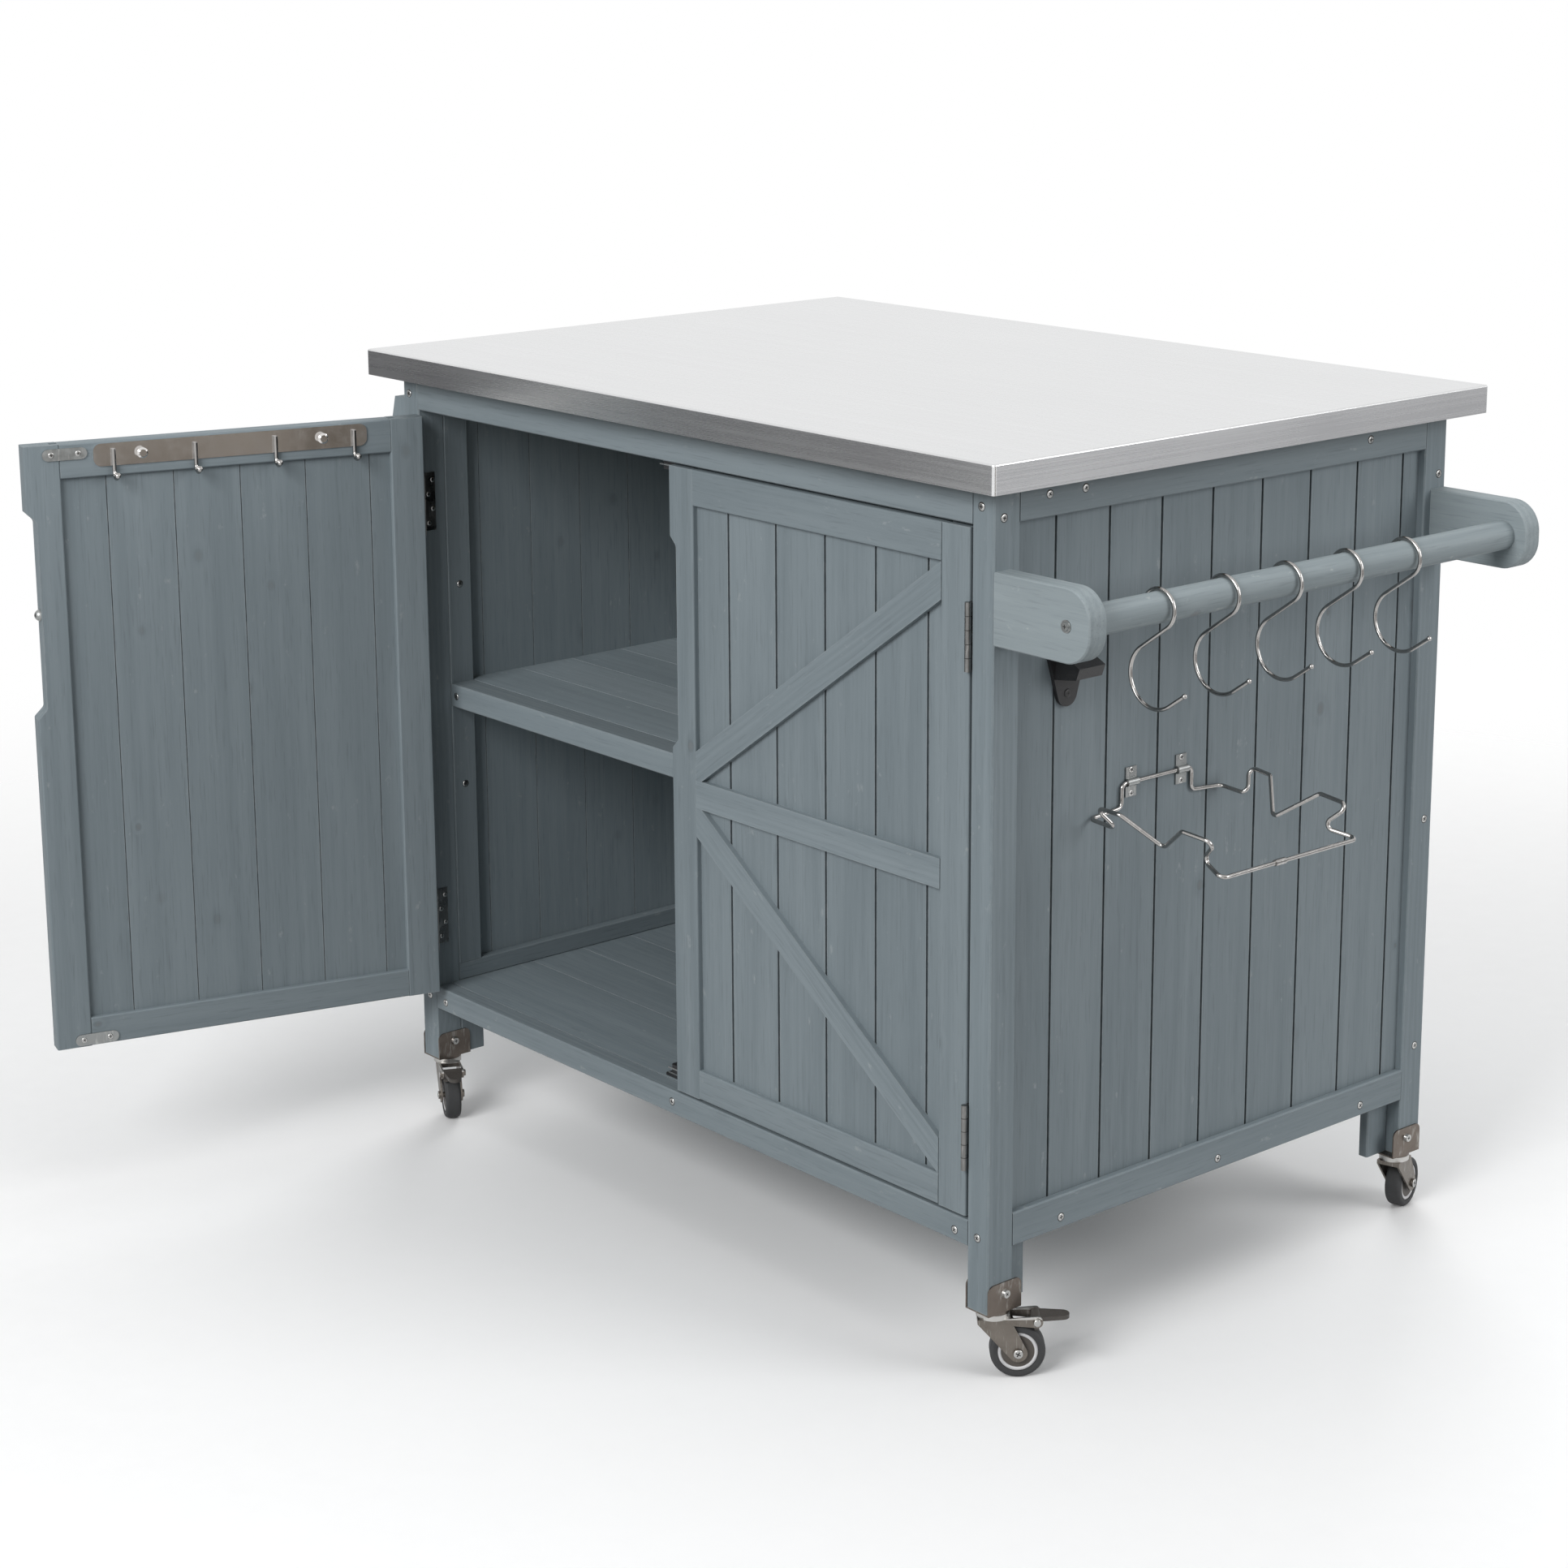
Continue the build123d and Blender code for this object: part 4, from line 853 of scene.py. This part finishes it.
def knuckle_joints():
    """Dark lines round each hinge barrel where one knuckle meets the next: painted shade standing for the gap
    between them.
    """
    shape = bmesh.new()
    pitch = hinge_height / hinge_knuckles
    outer = hinge_barrel_radius + knuckle_line_proud
    inner = outer - knuckle_line_depth
    half = knuckle_line_half
    profile = ((inner, -half), (outer, -half), (outer, half), (inner, half), (inner, -half))
    for way in (-1, 1):
        for middle in hinge_middles:
            for i in range(1, hinge_knuckles):
                joint = middle - hinge_height / 2 + i * pitch
                seat = at(way * hinge_axis[0], hinge_axis[1], joint)
                turned(shape, profile, seat_turn(seat, up), barrel_steps)
    close_up(shape)
    new_piece("knuckle_joints", "cabinet", shape, slot_shadow)


knuckle_joints()

for side, leaf in leaves.items():
    seats = [
        (leaf.at(strike_along + step, height, door_thickness + strike_thickness), leaf.inward)
        for step in (-strike_screw_step, strike_screw_step) for height in strike_heights
    ]
    screw_heads(f"{side}_strike_screws", f"{side}_door", seats, strike_head)

clip_seats = [
    (at(wall_face + clip_wall, ring_axle[1] + way * clip_spacing / 2, ring_axle[2] + lift), x_way)
    for way in (-1, 1) for lift in (-clip_screw_lift, clip_screw_lift)
]
screw_heads("clip_screws", "cabinet", clip_seats, clip_head)
screw_heads("opener_screw", "cabinet", [(at(*opener_place), x_way)], opener_head, opener_casting)

# Cross slots in the heads that come with the bar and the casters
bar_tops = [(at(bar_x, way * bar_screw_face, bar_height), ahead * -way) for way in (-1, 1)]
cross_recesses("bar_screw", "cabinet", bar_tops, bar_slot_radius)
bolt_tops = [
    (at(way * x, end * bolt_middle[0], bolt_middle[1]), x_way * way * facing)
    for way in (-1, 1) for end in (-1, 1) for x, facing in bolt_places
]
cross_recesses("caster_bolt", "cabinet", bolt_tops, bolt_slot_radius)


# Magnetic catches: steel poles on the front of each, and the screws in its ears

def catch_poles():
    shape = bmesh.new()
    for x in (-catch_pole_x, catch_pole_x):
        for middle in catch_middles:
            for lift in (-catch_pole_lift, catch_pole_lift):
                bar = bmesh.ops.create_cube(shape, size=1.0)["verts"]
                size = Matrix.Diagonal((*(value * mm for value in catch_pole_size), 1.0))
                place = Matrix.Translation(at(x, catch_front, middle + lift))
                bmesh.ops.transform(shape, matrix=place @ size, verts=bar)
    bmesh.ops.bevel(
        shape,
        geom=shape.edges[:],
        offset=catch_pole_round * mm,
        affect="EDGES",
        segments=2,
        profile=0.5,
        material=-1,
    )
    new_piece("catch_poles", "cabinet", shape, bright_zinc, smooth=False)


catch_poles()
ear_seats = [(at(end * ear_screw[0], ear_screw[1], z), up * way) for end in (-1, 1) for z, way in ear_faces]
screw_heads("catch_screws", "cabinet", ear_seats, catch_head)


# Wheel faces: a pale ring on each side of each hub, and caps on the axle bolt and the pedal pin

def wheel_faces(caster):
    low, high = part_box(f"{caster}_hub")
    centre = (low + high) / 2
    yaw = math.radians(caster_yaws[caster])
    axle = Vector((math.sin(yaw), -math.cos(yaw), 0))
    shape = bmesh.new()
    for way in (-1, 1):
        seat = centre + axle * way * (wheel_face + ring_lift) * mm
        turned(shape, ring_profile, seat_turn(seat, axle * way), ring_steps)
    close_up(shape)
    new_piece(f"{caster}_wheel_rings", f"{caster}_wheel", shape, ring_plastic)
    tops = [(centre + axle * way * axle_bolt_half * mm, axle * way) for way in (-1, 1)]
    screw_heads(f"{caster}_axle", f"{caster}_swivel", tops, (axle_head_radius - cap_inset, cap_rise))
    if caster in braked:
        trailing = Vector((math.cos(yaw), math.sin(yaw), 0))
        pivot = Vector((centre.x, centre.y, pedal_pivot_height * mm)) + trailing * pedal_pivot_out * mm
        pins = [(pivot + axle * way * axle_bolt_half * mm, axle * way) for way in (-1, 1)]
        cap = (pedal_pin_head - cap_inset, cap_rise)
        screw_heads(f"{caster}_pedal_pin", f"{caster}_swivel", pins, cap, crossed=False)


for caster in caster_yaws:
    wheel_faces(caster)


# Floor, lamps and surroundings

def stage_sheet(name, shape, material):
    sheet = new_object(name, shape, material)
    return sheet


def seen_directly(bench):
    """One where the camera, gloss or glass sees a surface, and nought where it lights the part."""
    path = bench.add("ShaderNodeLightPath")
    seen = bench.math("MAXIMUM", path.outputs["Is Camera Ray"], path.outputs["Is Glossy Ray"])
    return bench.math("MAXIMUM", seen, path.outputs["Is Transmission Ray"])


def pale_floor():
    material, bench, shader, place = new_material("pale floor", roughness=0.9, Specular_IOR_Level=0.1)
    speck = bench.noise(place, 30.0, 3.0, 0.6)
    pale = bench.blend(speck, (0.94, 0.94, 0.94, 1), (0.97, 0.97, 0.97, 1))
    seen = seen_directly(bench)
    bench.put(shader.inputs["Base Color"], bench.blend(seen, (0.45, 0.45, 0.45, 1), pale))
    away = bench.add("ShaderNodeVectorMath", operation="LENGTH")
    bench.put(away.inputs[0], place)
    bench.put(shader.inputs["Alpha"], bench.span(away.outputs["Value"], *floor_fade))
    shape = bmesh.new()
    bmesh.ops.create_circle(shape, cap_ends=True, segments=floor_sides, radius=floor_radius)
    stage_sheet("pale_floor", shape, material)


def glowing_reflection_card(name, centre, facing, size, dark, light):
    """A glowing card that only shows in gloss, clouded from dark to light: a painted reflection for bright
    metal to mirror.
    """
    material = bpy.data.materials.new(name)
    material.use_nodes = True
    bench = Bench(material.node_tree)
    material.node_tree.nodes.remove(material.node_tree.nodes["Principled BSDF"])
    place = bench.add("ShaderNodeTexCoord").outputs["Object"]
    glow = bench.add("ShaderNodeEmission")
    cloud = bench.span(bench.noise(place, 2.4, 2.0, 0.5), 0.35, 0.65)
    bench.put(glow.inputs["Color"], bench.blend(cloud, dark, light))
    bench.put(material.node_tree.nodes["Material Output"].inputs["Surface"], glow.outputs[0])
    shape = bmesh.new()
    corners = bmesh.ops.create_grid(shape, x_segments=1, y_segments=1, size=0.5)["verts"]
    stretch = Matrix.Diagonal((size[0], size[1], 1.0, 1.0))
    bmesh.ops.transform(shape, matrix=seat_turn(centre, facing) @ stretch, verts=corners)
    card = stage_sheet(name, shape, material)
    card.visible_camera = False
    card.visible_diffuse = False
    card.visible_shadow = False
    card.visible_transmission = False


def soft_lamp(name, place, aim, size, watts, in_gloss=True):
    lamp = bpy.data.lights.new(name, "AREA")
    lamp.shape = "RECTANGLE"
    lamp.size, lamp.size_y = size
    lamp.energy = watts
    holder = bpy.data.objects.new(name, lamp)
    holder.visible_glossy = in_gloss
    scene.collection.objects.link(holder)
    holder.location = place
    holder.rotation_mode = "QUATERNION"
    holder.rotation_quaternion = (Vector(aim) - Vector(place)).to_track_quat("-Z", "Y")


def pale_room(light):
    world = bpy.data.worlds.new("pale room")
    scene.world = world
    world.use_nodes = True
    bench = Bench(world.node_tree)
    lit = world.node_tree.nodes["Background"]
    lit.inputs["Color"].default_value = (0.98, 0.99, 1.0, 1)
    lit.inputs["Strength"].default_value = light
    white = bench.add("ShaderNodeBackground")
    white.inputs["Color"].default_value = (1, 1, 1, 1)
    white.inputs["Strength"].default_value = 1.0
    seen = seen_directly(bench)
    both = bench.add("ShaderNodeMixShader")
    bench.put(both.inputs[0], seen)
    bench.put(both.inputs[1], lit.outputs[0])
    bench.put(both.inputs[2], white.outputs[0])
    bench.put(world.node_tree.nodes["World Output"].inputs["Surface"], both.outputs[0])


def stand_camera():
    yaw, pitch, roll = (math.radians(value) for value in (camera_yaw, camera_pitch, camera_roll))
    ray = Vector((-math.sin(yaw) * math.cos(pitch), math.cos(yaw) * math.cos(pitch), -math.sin(pitch)))
    level = Vector((math.cos(yaw), math.sin(yaw), 0))
    upright = level.cross(ray)
    aside = level * math.cos(roll) + upright * math.sin(roll)
    upright = upright * math.cos(roll) - level * math.sin(roll)
    data = bpy.data.cameras.new("photo view")
    data.lens = camera_lens
    data.sensor_width = 36.0
    data.shift_y = camera_shift
    data.clip_end = 100.0
    camera = bpy.data.objects.new("photo_view", data)
    scene.collection.objects.link(camera)
    turn = Matrix((aside, upright, -ray)).transposed().to_4x4()
    camera.matrix_world = Matrix.Translation(at(*camera_place)) @ turn
    scene.camera = camera


pale_floor()
pale_room(room_light)
soft_lamp("front key", (0.90, -3.80, 2.55), (-0.1, -0.3, 0.45), (2.2, 1.8), 132.0)
soft_lamp("right fill", (3.3, 1.5, 1.9), (0.45, 0, 0.45), (2.0, 2.0), 54.0)
soft_lamp("back fill", (-2.6, 3.0, 1.9), (0, 0.2, 0.45), (2.2, 2.0), 85.0, in_gloss=False)
soft_lamp("overhead", (0.2, 0.1, 3.4), (0, 0, 0.8), (2.4, 2.4), 28.0, in_gloss=False)
# Painted reflections: glowing cards seen only in gloss, dark at the front, grey at the end and brown beside
# the door
glowing_reflection_card(
    "front_card", (-2.0, -1.61, 0.50), (0.55, 0.80, 0.2), (2.2, 1.1),
    (0.06, 0.06, 0.065, 1), (0.15, 0.15, 0.155, 1),
)
glowing_reflection_card(
    "end_card", (1.8, 1.5, 0.50), (-0.7, -0.7, 0.15), (2.0, 1.0),
    (0.32, 0.32, 0.33, 1), (0.46, 0.46, 0.47, 1),
)
glowing_reflection_card(
    "door_card", (1.84, -0.5, 0.38), (-1.0, 0.0, 0.15), (0.9, 0.8),
    (0.09, 0.075, 0.06, 1), (0.34, 0.31, 0.28, 1),
)
stand_camera()
